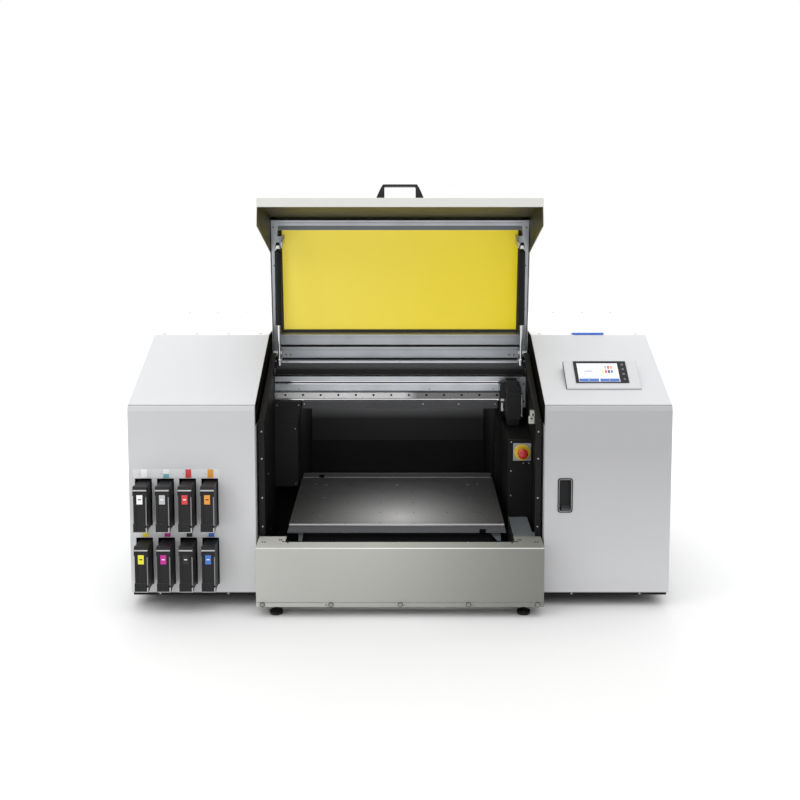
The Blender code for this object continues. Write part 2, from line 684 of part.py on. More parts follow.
def add_table():
    pivot = (sum(TABLE_X) / 2, sum(TABLE_Y) / 2, TABLE_TOP)
    x0, x1 = TABLE_X
    y0, y1 = TABLE_Y
    wall, web = SKIRT_WALL, 0.2355
    low = TRACK_TOP + CLEARANCE

    bar_x, bar_y, plate_top = (-0.305, 0.283), (0.055, 0.075), 0.098
    carriage = [
        (-0.260, 0.240, 0.060, 0.460, plate_top - 0.006, plate_top),
        (*bar_x, bar_y[0], bar_y[0] + 0.003, low, 0.208),
        (*bar_x, *bar_y, 0.205, 0.208),
        (*bar_x, *bar_y, plate_top - 0.006, plate_top)]
    carriage += [(x - RUNNER_HALF, x + RUNNER_HALF, 0.060, 0.460, low, plate_top) for x in TRACK_X]
    add_piece("table_carriage", carve(carriage + tube_walls(0.0, 0.098, 0.225)), "black_metal", pivot)
    sleeve = tube_walls(LIFT_STEP, 0.1045, 0.2285)
    add_piece("lift_sleeve", carve(sleeve), "steel", pivot)

    def flare(x, y, z):
        if z > SKIRT_BOTTOM:
            return x, y, z
        x += {x0: -SKIRT_FLARE, x1: SKIRT_FLARE}.get(x, 0.0)
        y += {y0: -SKIRT_FLARE, y1: SKIRT_FLARE}.get(y, 0.0)
        return x, y, z

    skirt = [
        (x0, x1, y0, y1, web, PLATE_BOTTOM - CLEARANCE),
        (x0, x1, y0, y0 + wall, SKIRT_BOTTOM, web), (x0, x1, y1 - wall, y1, SKIRT_BOTTOM, web),
        (x0, x0 + wall, y0, y1, SKIRT_BOTTOM, web), (x1 - wall, x1, y0, y1, SKIRT_BOTTOM, web)]
    frame = combined(carve(skirt, (), flare), carve(tube_walls(2 * LIFT_STEP, 0.106, web + 0.002)))
    add_piece("table_frame", frame, "dark_grey_metal", pivot)

    plate = carve([
        (x0, x1, y0, y1, PLATE_BOTTOM, TABLE_TOP),
        (x0 + 0.004, x1 - 0.004, y1 - 0.012, y1, TABLE_TOP, TABLE_TOP + 0.014)])
    add_piece("table_plate", plate, "table_metal", pivot, bevel=0.0006)


# Lid -----------------------------------------------------------------------------------------

def lid_point(s, h):
    """Closed position of a point s along the sloping face from its front and h out from it."""
    y = s * math.cos(LID_ANGLE) - h * math.sin(LID_ANGLE)
    z = LID_RIDGE_Z + s * math.sin(LID_ANGLE) + h * math.cos(LID_ANGLE)
    return y, z


def on_slope(x, s, h):
    return x, *lid_point(s, h)


def add_lid_piece(name, bm, material_name, bevel=0.0, rounded=False):
    return add_piece(name, bm, material_name, (0.0, *HINGE), -LID_OPEN_ANGLE, bevel, rounded)


def lid_shell():
    """Folded cover: sloping face with a window, front skirt with a lip, and two cheeks."""
    inner_half = LID_HALF - SHEET
    flank = [(0.0, LID_BOTTOM), (CHEEK_DEPTH, LID_BOTTOM), (0.118, 0.601), (LID_BACK, 0.7264),
             (LID_BACK, ROOF_Z), (ROOF_BEND_Y, ROOF_Z), (0.0, LID_RIDGE_Z)]
    shell = extrude(flank, "x", -LID_HALF, LID_HALF)
    floor = LID_BOTTOM + SHEET
    under = ROOF_Z - SHEET
    ridge_under = LID_RIDGE_Z + LID_SLOPE * SHEET - SHEET / math.cos(LID_ANGLE)
    hollow = [(SHEET, floor), (0.60, floor), (0.60, under), (ROOF_BEND_Y, under),
              (SHEET, ridge_under)]
    shell = combined(shell, extrude(hollow, "x", -inner_half, inner_half), "DIFFERENCE")
    shell = combined(shell, box(-inner_half, inner_half, LID_LIP, 0.60, 0.20, floor + 0.001), "DIFFERENCE")
    window = carve([(-0.400, 0.400, *WINDOW_S, -0.010, 0.010)], (), on_slope)
    return combined(shell, window, "DIFFERENCE")


def lid_frame():
    """Tube frame inside the cover with spring brackets and hinge knuckles."""
    depth = (FRAME_INNER, FRAME_OUTER)
    leg_in, leg_out = 0.407, 0.428
    members = [(-leg_out, leg_out, -0.004, 0.029, *depth),
               (-leg_out, leg_out, 0.3917, 0.4269, *depth),
               (-leg_out, leg_out, 0.4356, 0.4740, *depth)]
    bracket_s, bracket_h = 0.0634, -0.1118
    for _, side in SIDES:
        members.append((*sided(side, leg_in, leg_out), -0.004, 0.4740, *depth))
        members.append((*sided(side, 0.385, leg_in), bracket_s - 0.014, bracket_s + 0.014,
                        FRAME_INNER, -0.030))
        members.append((*sided(side, 0.385, 0.3885), bracket_s - 0.010, bracket_s + 0.010,
                        bracket_h - 0.010, FRAME_INNER))
        members.append((*sided(side, 0.3885, SPRING_X - SPRING_EYE - CLEARANCE),
                        bracket_s - 0.004, bracket_s + 0.004, bracket_h - 0.004, bracket_h + 0.004))
    frame = carve(members, (), on_slope)
    y, z = HINGE
    knuckle = arc(HINGE, KNUCKLE_RADIUS, 180.0, 360.0)
    knuckle += [(y + KNUCKLE_RADIUS, z + 0.045), (y - KNUCKLE_RADIUS, z + 0.036)]
    for _, side in SIDES:
        frame = combined(frame, extrude(knuckle, "x", *sided(side, 0.409, 0.427)))
    return frame


def add_lid():
    add_lid_piece("lid_shell", lid_shell(), "lid_white")
    add_lid_piece("lid_frame", lid_frame(), "aluminium", rounded=True)
    pane = carve([(-0.412, 0.412, 0.024, 0.397, FRAME_OUTER + CLEARANCE, FRAME_OUTER + 0.0045)],
                 (), on_slope)
    add_lid_piece("lid_window", pane, "yellow_acrylic")

    half = [(0.0735, -CLEARANCE), (0.0700, -0.012), (0.0630, -0.028), (0.0565, -0.041), (0.0520, -0.048)]
    inside = [(0.0475, -0.041), (0.0475, -CLEARANCE)]
    outline = half + [(-x, y) for x, y in reversed(half)] + [(-x, y) for x, y in reversed(inside)] + inside
    add_lid_piece("lid_handle", extrude(outline, "z", 0.250, 0.270), "black_plastic", 0.0015)


def add_gas_springs():
    (y0, z0), (y1, z1) = SPRING_FOOT, SPRING_HEAD
    direction = Vector((0.0, y1 - y0, z1 - z0))
    length = direction.length
    eye = [(SPRING_EYE * math.sin(a), -SPRING_EYE * math.cos(a)) for a in (0.5, 1.0, 1.45, 1.9, 2.4)]
    rod = [(0.0, -SPRING_EYE), *eye, (ROD_RADIUS, 0.010), (ROD_RADIUS, ROD_LENGTH), (0.0, ROD_LENGTH)]
    head = [(r, length + t) for r, t in eye]
    tube = [(0.0, length - 0.029), (TUBE_BORE, length - 0.029), (TUBE_BORE, TUBE_START),
            (TUBE_RADIUS, TUBE_START), (TUBE_RADIUS, length - 0.023), (0.005, length - 0.018),
            (0.005, length - 0.010), *head[1:], (0.0, length + SPRING_EYE)]
    for name, side in SIDES:
        foot = (side * SPRING_X, y0, z0)
        add_piece(f"spring_rod_{name}", turned(rod, foot, direction), "steel", foot, rounded=True)
        add_piece(f"spring_tube_{name}", turned(tube, foot, direction), "black_metal", foot, rounded=True)


def build():
    clear_scene()
    for name, side in SIDES:
        add_cabinet(name, side)
        add_inner_side(name, side)
    add_ink_station()
    add_door()
    add_touch_panel()
    add_feet()
    add_front_tray()
    add_middle_base()
    add_service_parts()
    add_emergency_stop()
    add_tunnel()
    add_hinge_beam()
    add_gantry()
    add_print_carriage()
    add_table()
    add_lid()
    add_gas_springs()


build()
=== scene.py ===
"""Looks of the flatbed UV printer: materials for its CAD nodes, small detail pieces, light and camera.

Metres in the shared frame.  Depths in the dimensions below are measured back from the front of the
cabinets, whose world position is FRONT.
"""

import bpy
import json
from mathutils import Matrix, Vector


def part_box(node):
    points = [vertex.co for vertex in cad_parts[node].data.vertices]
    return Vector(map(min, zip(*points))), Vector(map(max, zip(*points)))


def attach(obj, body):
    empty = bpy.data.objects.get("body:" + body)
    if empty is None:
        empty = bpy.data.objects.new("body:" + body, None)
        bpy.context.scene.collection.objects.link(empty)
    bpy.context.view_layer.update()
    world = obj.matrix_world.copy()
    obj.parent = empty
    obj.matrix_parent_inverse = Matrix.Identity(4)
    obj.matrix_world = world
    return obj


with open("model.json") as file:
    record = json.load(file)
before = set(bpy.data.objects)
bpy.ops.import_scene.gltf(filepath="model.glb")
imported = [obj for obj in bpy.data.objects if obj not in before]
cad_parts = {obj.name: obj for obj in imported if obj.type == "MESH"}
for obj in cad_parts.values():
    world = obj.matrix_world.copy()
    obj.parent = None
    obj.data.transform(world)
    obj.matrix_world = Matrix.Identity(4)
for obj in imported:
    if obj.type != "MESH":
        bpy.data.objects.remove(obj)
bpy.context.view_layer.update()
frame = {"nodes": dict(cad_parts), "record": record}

import json
import math

import bmesh
import bpy
from mathutils import Matrix, Vector

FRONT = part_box("left_front_panel")[0].y
INKS = ("white", "gloss", "red", "orange", "yellow", "magenta", "black", "cyan")
X_AXIS, Y_AXIS, Z_AXIS = Vector((1, 0, 0)), Vector((0, 1, 0)), Vector((0, 0, 1))
FORWARD = -Y_AXIS
BACKWARD = Y_AXIS

WEAR_AND_HIGHLIGHT_WIDTH = 0.0012
SHARP_ANGLE = math.radians(38)

ROOF_FRONT_Z, ROOF_BEND_Z, ROOF_BEND = 0.6195, 0.7675, 0.404
VENT_STEP, VENT_HEIGHT = 0.014, 0.006
BAY_HALF = 0.4258
STOP_CENTRE = (0.393, 0.415)
TRAY_BOLTS_X, TRAY_BOLTS_Z = (-0.409, -0.205, 0.001, 0.204, 0.409), 0.0405
TABLE_REAR_LIP = 0.014
GANTRY_FACE = 0.4743

HINGE = Vector((0.0, 0.45, 0.695))
LID_OPEN = math.radians(103.0)
LID_RIDGE_Z, LID_SLOPE = 0.614, 0.38
LID_INNER, LID_OUTER = -0.052, -0.02
SPRING_X, SPRING_FOOT, SPRING_HEAD = 0.4, (0.38, 0.672), (0.37, 1.0735)

SCREEN_TILT = math.radians(33.0)
SCREEN_ORIGIN = Vector((0.0, 0.088, 0.6575))
SCREEN_LOW, SCREEN_HIGH, SCREEN_FACE = 0.0215, 0.1153, 0.0025
TAG_X, TAG_STEP, TAG_Z, TAG_DROP = -0.799, 0.0667, 0.399, 0.1833


# Materials

class Nodes:
    """Short calls for building one material's node tree."""

    def __init__(self, name):
        self.material = bpy.data.materials.new(name)
        self.material.use_nodes = True
        self.tree = self.material.node_tree
        self.shader = self.tree.nodes["Principled BSDF"]
        self.coords = self.add("ShaderNodeTexCoord").outputs["Object"]

    def add(self, kind, **settings):
        node = self.tree.nodes.new(kind)
        for key, value in settings.items():
            setattr(node, key, value)
        return node

    def link(self, source, target):
        self.tree.links.new(source, target)

    def stretched(self, scale):
        if scale == (1, 1, 1):
            return self.coords
        node = self.add("ShaderNodeMapping")
        node.inputs["Scale"].default_value = scale
        self.link(self.coords, node.inputs["Vector"])
        return node.outputs["Vector"]

    def noise(self, scale, detail=2.0, stretch=(1, 1, 1)):
        node = self.add("ShaderNodeTexNoise")
        node.inputs["Scale"].default_value = scale
        node.inputs["Detail"].default_value = detail
        self.link(self.stretched(stretch), node.inputs["Vector"])
        return node.outputs["Fac"]

    def remap(self, source, low, high, out_low, out_high):
        node = self.add("ShaderNodeMapRange")
        for name, value in (("From Min", low), ("From Max", high), ("To Min", out_low), ("To Max", out_high)):
            node.inputs[name].default_value = value
        self.link(source, node.inputs["Value"])
        return node.outputs["Result"]

    def times(self, first, second):
        node = self.add("ShaderNodeMath", operation="MULTIPLY")
        self.link(first, node.inputs[0])
        self.link(second, node.inputs[1])
        return node.outputs["Value"]

    def mixed(self, factor, first, second):
        """Colours blended by a varying factor; each is an RGB triple or a socket."""
        node = self.add("ShaderNodeMix", data_type="RGBA")
        self.link(factor, node.inputs[0])
        for value, socket in ((first, node.inputs[6]), (second, node.inputs[7])):
            if isinstance(value, tuple):
                socket.default_value = (*value, 1.0)
            else:
                self.link(value, socket)
        return node.outputs[2]

    def bump(self, height, strength, distance):
        node = self.add("ShaderNodeBump")
        node.inputs["Strength"].default_value = strength
        node.inputs["Distance"].default_value = distance
        self.link(height, node.inputs["Height"])
        self.link(node.outputs["Normal"], self.shader.inputs["Normal"])

    def edge_mask(self, radius):
        """1 along outer and inner edges, 0 on flat faces."""
        bevel = self.add("ShaderNodeBevel", samples=4)
        bevel.inputs["Radius"].default_value = radius
        flat = self.add("ShaderNodeNewGeometry").outputs["Normal"]
        dot = self.add("ShaderNodeVectorMath", operation="DOT_PRODUCT")
        self.link(bevel.outputs["Normal"], dot.inputs[0])
        self.link(flat, dot.inputs[1])
        return self.remap(dot.outputs["Value"], 0.995, 0.9, 0.0, 1.0)


def shade(colour, factor):
    """Colour made lighter or darker."""
    return tuple(min(1.0, channel * factor) for channel in colour)


def surface(name, colour, roughness, texture, metallic=0.0, stretch=(1, 1, 1), wear_and_highlight=None, spread=0.06,
            specular=0.5, coat=0.0):
    """Paint, moulded plastic or metal: fine grain, slow drift in colour, smudged gloss, and edges recoloured
    partly as wear and partly as a painted highlight.

    The texture is how fine its grain is, how deep, and how far the colour drifts.
    """
    grain, depth, drift = texture
    made = Nodes(name)
    shader = made.shader
    shader.inputs["Metallic"].default_value = metallic
    shader.inputs["Specular IOR Level"].default_value = specular
    shader.inputs["Coat Weight"].default_value = coat
    broad = made.remap(made.noise(3.1, 3.0), 0.3, 0.7, 0.0, 1.0)
    tone = made.mixed(broad, shade(colour, 1.0 - drift), shade(colour, 1.0 + drift))
    grains = made.noise(grain, 2.0, stretch)
    speck = made.remap(grains, 0.35, 0.65, 0.0, 0.35)
    tone = made.mixed(speck, tone, shade(colour, 1.0 - 1.5 * drift))
    # Edges take the given colour in patches: partly wear, partly a painted highlight along the edges.
    if wear_and_highlight:
        patchy = made.remap(made.noise(38.0, 4.0), 0.42, 0.62, 0.25, 1.0)
        tone = made.mixed(made.times(made.edge_mask(WEAR_AND_HIGHLIGHT_WIDTH), patchy), tone, wear_and_highlight)
    made.link(tone, shader.inputs["Base Color"])
    smudge = made.remap(made.noise(17.0, 5.0), 0.3, 0.7, roughness - spread, roughness + spread)
    made.link(smudge, shader.inputs["Roughness"])
    made.bump(grains, depth, 0.0006)
    return made.material


def lit(name, colour, strength):
    """Lit display or lamp surface, a little uneven."""
    made = Nodes(name)
    shader = made.shader
    glow = made.remap(made.noise(60.0, 2.0), 0.3, 0.7, 0.0, 1.0)
    tone = made.mixed(glow, shade(colour, 0.93), colour)
    made.link(tone, shader.inputs["Base Color"])
    made.link(tone, shader.inputs["Emission Color"])
    shader.inputs["Emission Strength"].default_value = strength
    made.link(made.remap(glow, 0.0, 1.0, 0.27, 0.33), shader.inputs["Roughness"])
    return made.material


def table_material():
    """Dark anodised plate, painted brighter towards its middle to match the photograph's light."""
    made = Nodes("anodised_table")
    shader = made.shader
    shader.inputs["Metallic"].default_value = 0.35
    place = made.add("ShaderNodeMapping", vector_type="POINT")
    place.inputs["Location"].default_value = (0.0, -(FRONT + 0.1) / 0.26, 0.0)
    place.inputs["Scale"].default_value = (1 / 0.21, 1 / 0.26, 0.0)
    made.link(made.coords, place.inputs["Vector"])
    distance = made.add("ShaderNodeVectorMath", operation="LENGTH")
    made.link(place.outputs["Vector"], distance.inputs[0])
    near = made.remap(distance.outputs["Value"], 1.7, 0.0, 0.0, 1.0)
    tone = made.mixed(made.times(near, near), (0.07, 0.071, 0.073), (0.6, 0.603, 0.615))
    streaks = made.noise(80.0, 2.0, (20, 1, 20))
    tone = made.mixed(made.remap(streaks, 0.35, 0.65, 0.0, 0.1), tone, (0.03, 0.03, 0.03))
    made.link(tone, shader.inputs["Base Color"])
    made.link(made.remap(made.noise(17.0, 5.0), 0.3, 0.7, 0.37, 0.47), shader.inputs["Roughness"])
    made.bump(streaks, 0.03, 0.0006)
    return made.material


def window_material():
    """Yellow acrylic, nearly opaque, with a faint painted glow for light shining through it, a painted
    highlight that makes it paler at the left, and a slightly cloudy tint.
    """
    made = Nodes("acrylic_yellow")
    shader = made.shader
    split = made.add("ShaderNodeSeparateXYZ")
    made.link(made.coords, split.inputs["Vector"])
    # Painted highlight: the tint is paler at the left and deeper at the right.
    paler_left_highlight = made.remap(split.outputs["X"], -0.45, 0.45, 0.0, 1.0)
    tone = made.mixed(paler_left_highlight, (0.98, 0.83, 0.115), (0.93, 0.76, 0.012))
    cloud = made.remap(made.noise(5.0, 3.0), 0.35, 0.65, 0.0, 0.12)
    tone = made.mixed(cloud, tone, (1.0, 0.86, 0.14))
    made.link(tone, shader.inputs["Base Color"])
    # Painted glow: the pane is no lamp; its faint emission stands in for light shining through it.
    made.link(tone, shader.inputs["Emission Color"])
    shader.inputs["Emission Strength"].default_value = 0.16
    shader.inputs["Specular IOR Level"].default_value = 0.3
    made.link(made.remap(made.noise(9.0, 4.0), 0.3, 0.7, 0.16, 0.26), shader.inputs["Roughness"])
    shader.inputs["IOR"].default_value = 1.49
    shader.inputs["Transmission Weight"].default_value = 0.1
    made.bump(made.noise(30.0, 2.0), 0.04, 0.0006)
    return made.material


def graded(name, axis, low, high, first, last, roughness, metallic=0.0, specular=0.5):
    """Finish whose tone runs evenly along one axis, standing in for the photograph's light."""
    made = Nodes(name)
    made.shader.inputs["Metallic"].default_value = metallic
    made.shader.inputs["Specular IOR Level"].default_value = specular
    split = made.add("ShaderNodeSeparateXYZ")
    made.link(made.coords, split.inputs["Vector"])
    place = made.remap(split.outputs[axis], low, high, 0.0, 1.0)
    tone = made.mixed(place, first, last)
    grains = made.noise(1200.0)
    speck = made.remap(grains, 0.35, 0.65, 0.0, 0.06)
    made.link(made.mixed(speck, tone, (0.5, 0.5, 0.5)), made.shader.inputs["Base Color"])
    made.link(made.remap(made.noise(17.0, 5.0), 0.3, 0.7, roughness - 0.05, roughness + 0.05),
              made.shader.inputs["Roughness"])
    made.bump(grains, 0.12, 0.0006)
    return made.material


WEAR_AND_HIGHLIGHT_BLACK = (0.06, 0.06, 0.06)
MATS = {
    "cabinet_white": surface("powder_white", (0.565, 0.572, 0.588), 0.46, (1500, 0.16, 0.012),
        wear_and_highlight=(0.86, 0.87, 0.88)),
    # Painted light: the tray's beige is brighter at the left and darker at the right.
    "tray_beige": graded("powder_beige_painted_light", "X", -0.43, 0.43, (0.46, 0.465, 0.437), (0.185, 0.188, 0.168),
        0.46),
    "lid_white": surface("powder_ivory", (0.66, 0.66, 0.632), 0.46, (1300, 0.16, 0.014),
        wear_and_highlight=(0.82, 0.82, 0.79)),
    "black_metal": surface("powder_black", (0.01, 0.01, 0.0105), 0.56, (1400, 0.2, 0.12), wear_and_highlight=WEAR_AND_HIGHLIGHT_BLACK,
        specular=0.2),
    "dark_grey_metal": surface("paint_dark_grey", (0.06, 0.061, 0.066), 0.44, (1400, 0.14, 0.08),
        metallic=0.2, wear_and_highlight=(0.2, 0.2, 0.21)),
    "blue_grey_metal": surface("paint_blue_grey", (0.17, 0.19, 0.205), 0.44, (1300, 0.14, 0.05),
        wear_and_highlight=(0.34, 0.36, 0.37)),
    "aluminium": surface("anodised_aluminium", (0.56, 0.585, 0.615), 0.36, (60, 0.05, 0.04), metallic=0.85,
        stretch=(1, 30, 30), wear_and_highlight=(0.8, 0.82, 0.84), spread=0.07),
    "steel": surface("ground_steel", (0.66, 0.66, 0.67), 0.24, (70, 0.05, 0.04), metallic=1.0,
        stretch=(1, 25, 25), wear_and_highlight=(0.85, 0.85, 0.86), spread=0.07),
    "table_metal": table_material(),
    "black_plastic": surface("plastic_black", (0.018, 0.018, 0.019), 0.46, (900, 0.16, 0.1),
        wear_and_highlight=(0.075, 0.075, 0.077), specular=0.25),
    "grey_plastic": surface("plastic_grey", (0.34, 0.35, 0.36), 0.45, (900, 0.12, 0.04),
        wear_and_highlight=(0.52, 0.53, 0.54)),
    "yellow_acrylic": window_material(),
    "red_plastic": surface("plastic_red", (0.62, 0.03, 0.028), 0.28, (700, 0.05, 0.06),
        wear_and_highlight=(0.75, 0.14, 0.12), coat=0.4),
    "blue_lamp": lit("lamp_blue", (0.014, 0.1, 0.52), 0.3),
    "screen_glass": surface("glass_black", (0.01, 0.01, 0.012), 0.16, (400, 0.01, 0.1), spread=0.04,
        specular=0.18),
    "rubber": surface("rubber_black", (0.014, 0.014, 0.014), 0.72, (700, 0.3, 0.15),
        wear_and_highlight=(0.05, 0.05, 0.05)),
}
CUP_GREY = surface("plastic_cup", (0.055, 0.055, 0.057), 0.4, (900, 0.14, 0.06))
SERVICE_DARK = surface("paint_charcoal", (0.02, 0.02, 0.022), 0.5, (1400, 0.14, 0.08), wear_and_highlight=WEAR_AND_HIGHLIGHT_BLACK,
    specular=0.2)
LID_ALUMINIUM = surface("anodised_lid_frame", (0.42, 0.44, 0.465), 0.36, (60, 0.05, 0.04), metallic=0.85,
    stretch=(1, 30, 30), wear_and_highlight=(0.6, 0.62, 0.64), spread=0.07)
# Painted shade: the slate panel darkens to near black towards the bottom.
REAR_PANEL_SHADE = graded("paint_slate_painted_shade", "Z", 0.31, 0.45, (0.012, 0.012, 0.012), (0.48, 0.49, 0.51), 0.5,
    specular=0.2)
# Painted highlight: the rail's steel is bright over its left part and dark from just right of the middle.
RAIL_HIGHLIGHT_STEEL = graded("rail_steel_painted_highlight", "X", 0.01, 0.06, (0.66, 0.66, 0.67), (0.17, 0.17, 0.172), 0.3, 0.7)
# Painted shade: dark plate for the shadowed web of the hinge beam, darkest at the bottom.
HINGE_BEAM_SHADE = graded("recess_shade", "Z", 0.634, 0.66, (0.004, 0.004, 0.004), (0.19, 0.194, 0.2), 0.5,
    specular=0.1)
# Painted light: the left front panel and the door are brighter towards the bottom and darker towards the top.
LEFT_PANEL_LIGHT = graded("paint_white_left_painted_light", "Z", 0.08, 0.56, (0.68, 0.683, 0.695), (0.525, 0.528, 0.54), 0.42)
DOOR_PANEL_LIGHT = graded("paint_white_door_painted_light", "Z", 0.1, 0.5, (0.6, 0.603, 0.615), (0.435, 0.438, 0.447), 0.42)
# Painted shade with a painted yellow reflection, for the inner faces of the lid's front and cheeks.
LID_SKIRT_SHADE = surface("painted_shade_olive", (0.085, 0.078, 0.034), 0.5, (1300, 0.14, 0.05))
LID_CHEEK_SHADE = surface("painted_shade_dark_olive", (0.04, 0.037, 0.014), 0.5, (1300, 0.14, 0.05))
CARTRIDGE = surface("cartridge_shell", (0.017, 0.017, 0.018), 0.42, (1000, 0.14, 0.06), wear_and_highlight=(0.1, 0.1, 0.1),
    specular=0.2)
# Painted highlight: pale grey for chamfers and edges that catch the light, on the cartridges and the table.
PALE_GREY_HIGHLIGHT = surface("grey_painted_highlight", (0.42, 0.42, 0.425), 0.34, (900, 0.1, 0.05),
    wear_and_highlight=(0.6, 0.6, 0.6))
PALE_PLASTIC = surface("plastic_pale", (0.74, 0.74, 0.71), 0.42, (900, 0.1, 0.03), wear_and_highlight=(0.85, 0.85, 0.82))
YELLOW_PLASTIC = surface("plastic_yellow", (0.8, 0.58, 0.03), 0.34, (900, 0.08, 0.04),
    wear_and_highlight=(0.88, 0.72, 0.2))
# Painted highlight for the tray's top bend.
BEIGE_BEND_HIGHLIGHT = surface("powder_beige_edge", (0.8, 0.8, 0.76), 0.4, (1300, 0.1, 0.02))
DULL_ZINC = surface("zinc_dull", (0.3, 0.3, 0.305), 0.34, (500, 0.08, 0.06), metallic=0.9)
ZINC = surface("zinc_screw", (0.56, 0.56, 0.57), 0.3, (500, 0.08, 0.06), metallic=1.0)
BLACK_OXIDE = surface("black_oxide", (0.02, 0.02, 0.021), 0.4, (500, 0.1, 0.1), metallic=0.5)
CHROME = surface("chrome", (0.8, 0.8, 0.81), 0.12, (300, 0.02, 0.03), metallic=1.0, spread=0.04)
GASKET = surface("gasket", (0.035, 0.034, 0.022), 0.65, (600, 0.2, 0.1))
HOLE = surface("hole_dark", (0.003, 0.003, 0.003), 0.8, (600, 0.1, 0.1), specular=0.05)
LABEL = surface("label_pale", (0.82, 0.83, 0.84), 0.38, (500, 0.04, 0.01))
STRIP = surface("label_strip", (0.66, 0.665, 0.675), 0.38, (500, 0.04, 0.01))
FOOT_BLACK = surface("foot_black", (0.008, 0.008, 0.008), 0.45, (900, 0.1, 0.05), specular=0.2)
DISPLAY = lit("display_white", (0.74, 0.76, 0.8), 0.1)
DISPLAY_BLUE = lit("display_blue", (0.035, 0.12, 0.42), 0.15)
DISPLAY_GREY = lit("display_grey", (0.36, 0.4, 0.46), 0.1)
ICON = lit("icon_grey", (0.34, 0.34, 0.34), 0.15)
INK_COLOURS = {
    "white": (0.86, 0.86, 0.86), "gloss": (0.46, 0.47, 0.48), "red": (0.6, 0.045, 0.045),
    "orange": (0.72, 0.3, 0.035), "yellow": (0.8, 0.72, 0.035), "magenta": (0.5, 0.015, 0.28),
    "black": (0.01, 0.01, 0.01), "cyan": (0.045, 0.16, 0.52)}
INK_MATS = {ink: surface(f"ink_{ink}", colour, 0.38, (500, 0.03, 0.02))
            for ink, colour in INK_COLOURS.items()}
TEAL = surface("tag_teal", (0.14, 0.42, 0.46), 0.38, (500, 0.03, 0.02))


# Shapes

def round_edges(obj, width, segments, angle):
    edge = obj.modifiers.new("edges", "BEVEL")
    edge.width = width
    edge.segments = segments
    edge.limit_method = "ANGLE"
    edge.angle_limit = angle
    return edge


class Shape:
    """Solids of one material gathered in one mesh, in an optional local frame."""

    def __init__(self, local=Matrix.Identity(4)):
        self.bm = bmesh.new()
        self.local = Matrix.Translation((0.0, FRONT, 0.0)) @ local

    def vert(self, point):
        return self.bm.verts.new(self.local @ Vector(point))

    def box(self, x0, x1, y0, y1, z0, z1):
        self.prism([(x0, y0), (x1, y0), (x1, y1), (x0, y1)], "z", z0, z1)

    def loop(self, outline, axis, level):
        """Vertices of an outline in the other two coordinates, in x, y, z order."""
        place = "xyz".index(axis)
        return [self.vert((*point[:place], level, *point[place:])) for point in outline]

    def band(self, first, second):
        """Quads between two loops of the same length."""
        for i in range(len(first)):
            j = (i + 1) % len(first)
            self.bm.faces.new((first[i], first[j], second[j], second[i]))

    def prism(self, outline, axis, low, high):
        """Outline extruded along an axis."""
        first, last = self.loop(outline, axis, low), self.loop(outline, axis, high)
        self.bm.faces.new(first)
        self.bm.faces.new(last[::-1])
        self.band(first, last)

    def ring(self, outer, inner, axis, low, high):
        """Prism with a hole; both outlines have the same number of points."""
        loops = [self.loop(*edge) for edge in (
            (outer, axis, low), (outer, axis, high), (inner, axis, high), (inner, axis, low))]
        for k in range(4):
            self.band(loops[k], loops[(k + 1) % 4])

    def lathe(self, profile, centre, direction, segments=16):
        """Radius and distance pairs turned about a line; the first and last radius are zero."""
        turn = Z_AXIS.rotation_difference(Vector(direction)).to_matrix()
        rings = []
        for radius, along in profile:
            count = segments if radius else 1
            ring = []
            for i in range(count):
                angle = 2 * math.pi * i / segments
                local = turn @ Vector((radius * math.cos(angle), radius * math.sin(angle), along))
                ring.append(self.vert(Vector(centre) + local))
            rings.append(ring)
        for lower, upper in zip(rings, rings[1:]):
            for i in range(segments):
                j = (i + 1) % segments
                quad = (lower[i % len(lower)], lower[j % len(lower)],
                        upper[j % len(upper)], upper[i % len(upper)])
                self.bm.faces.new(list(dict.fromkeys(quad)))

    def screw(self, centre, direction, radius, height):
        """Pan head with a round drive recess."""
        self.lathe([(0.0, height * 0.35), (radius * 0.38, height * 0.35), (radius * 0.46, height),
                    (radius * 0.8, height * 0.86), (radius, height * 0.4), (radius, -0.0002),
                    (0.0, -0.0002)], centre, direction, 14)

    def hex_bolt(self, centre, direction, radius, height):
        """Hexagon head on a thin washer."""
        self.lathe([(0.0, 0.0012), (radius * 1.35, 0.0012), (radius * 1.45, 0.0006), (radius * 1.45, -0.0002),
                    (0.0, -0.0002)], centre, direction, 20)
        self.lathe([(0.0, height), (radius * 0.8, height), (radius, height * 0.82), (radius, 0.0013),
                    (0.0, 0.0013)], centre, direction, 6)

    def disc(self, centre, direction, radius, height=0.0003):
        outline = [(0.0, height), (radius, height), (radius, -0.0001), (0.0, -0.0001)]
        self.lathe(outline, centre, direction, 14)

    def made(self, name, body, slot, material=None, bevel=0.0, segments=2):
        """Object of the gathered solids, riding on a body, in its slot's material unless another is given."""
        bmesh.ops.recalc_face_normals(self.bm, faces=self.bm.faces)
        mesh = bpy.data.meshes.new(name)
        self.bm.to_mesh(mesh)
        self.bm.free()
        mesh.shade_smooth()
        mesh.set_sharp_from_angle(angle=SHARP_ANGLE)
        mesh.materials.append(material or MATS[slot])
        obj = bpy.data.objects.new(name, mesh)
        bpy.context.collection.objects.link(obj)
        if bevel:
            round_edges(obj, bevel, segments, SHARP_ANGLE).harden_normals = True
        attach(obj, body)


def rounded(x0, x1, z0, z1, radius, steps=5):
    """Rectangle with rounded corners."""
    points = []
    for cx, cz, start in ((x1 - radius, z1 - radius, 0), (x0 + radius, z1 - radius, 90),
                          (x0 + radius, z0 + radius, 180), (x1 - radius, z0 + radius, 270)):
        for i in range(steps + 1):
            angle = math.radians(start + 90 * i / steps)
            points.append((cx + radius * math.cos(angle), cz + radius * math.sin(angle)))
    return points


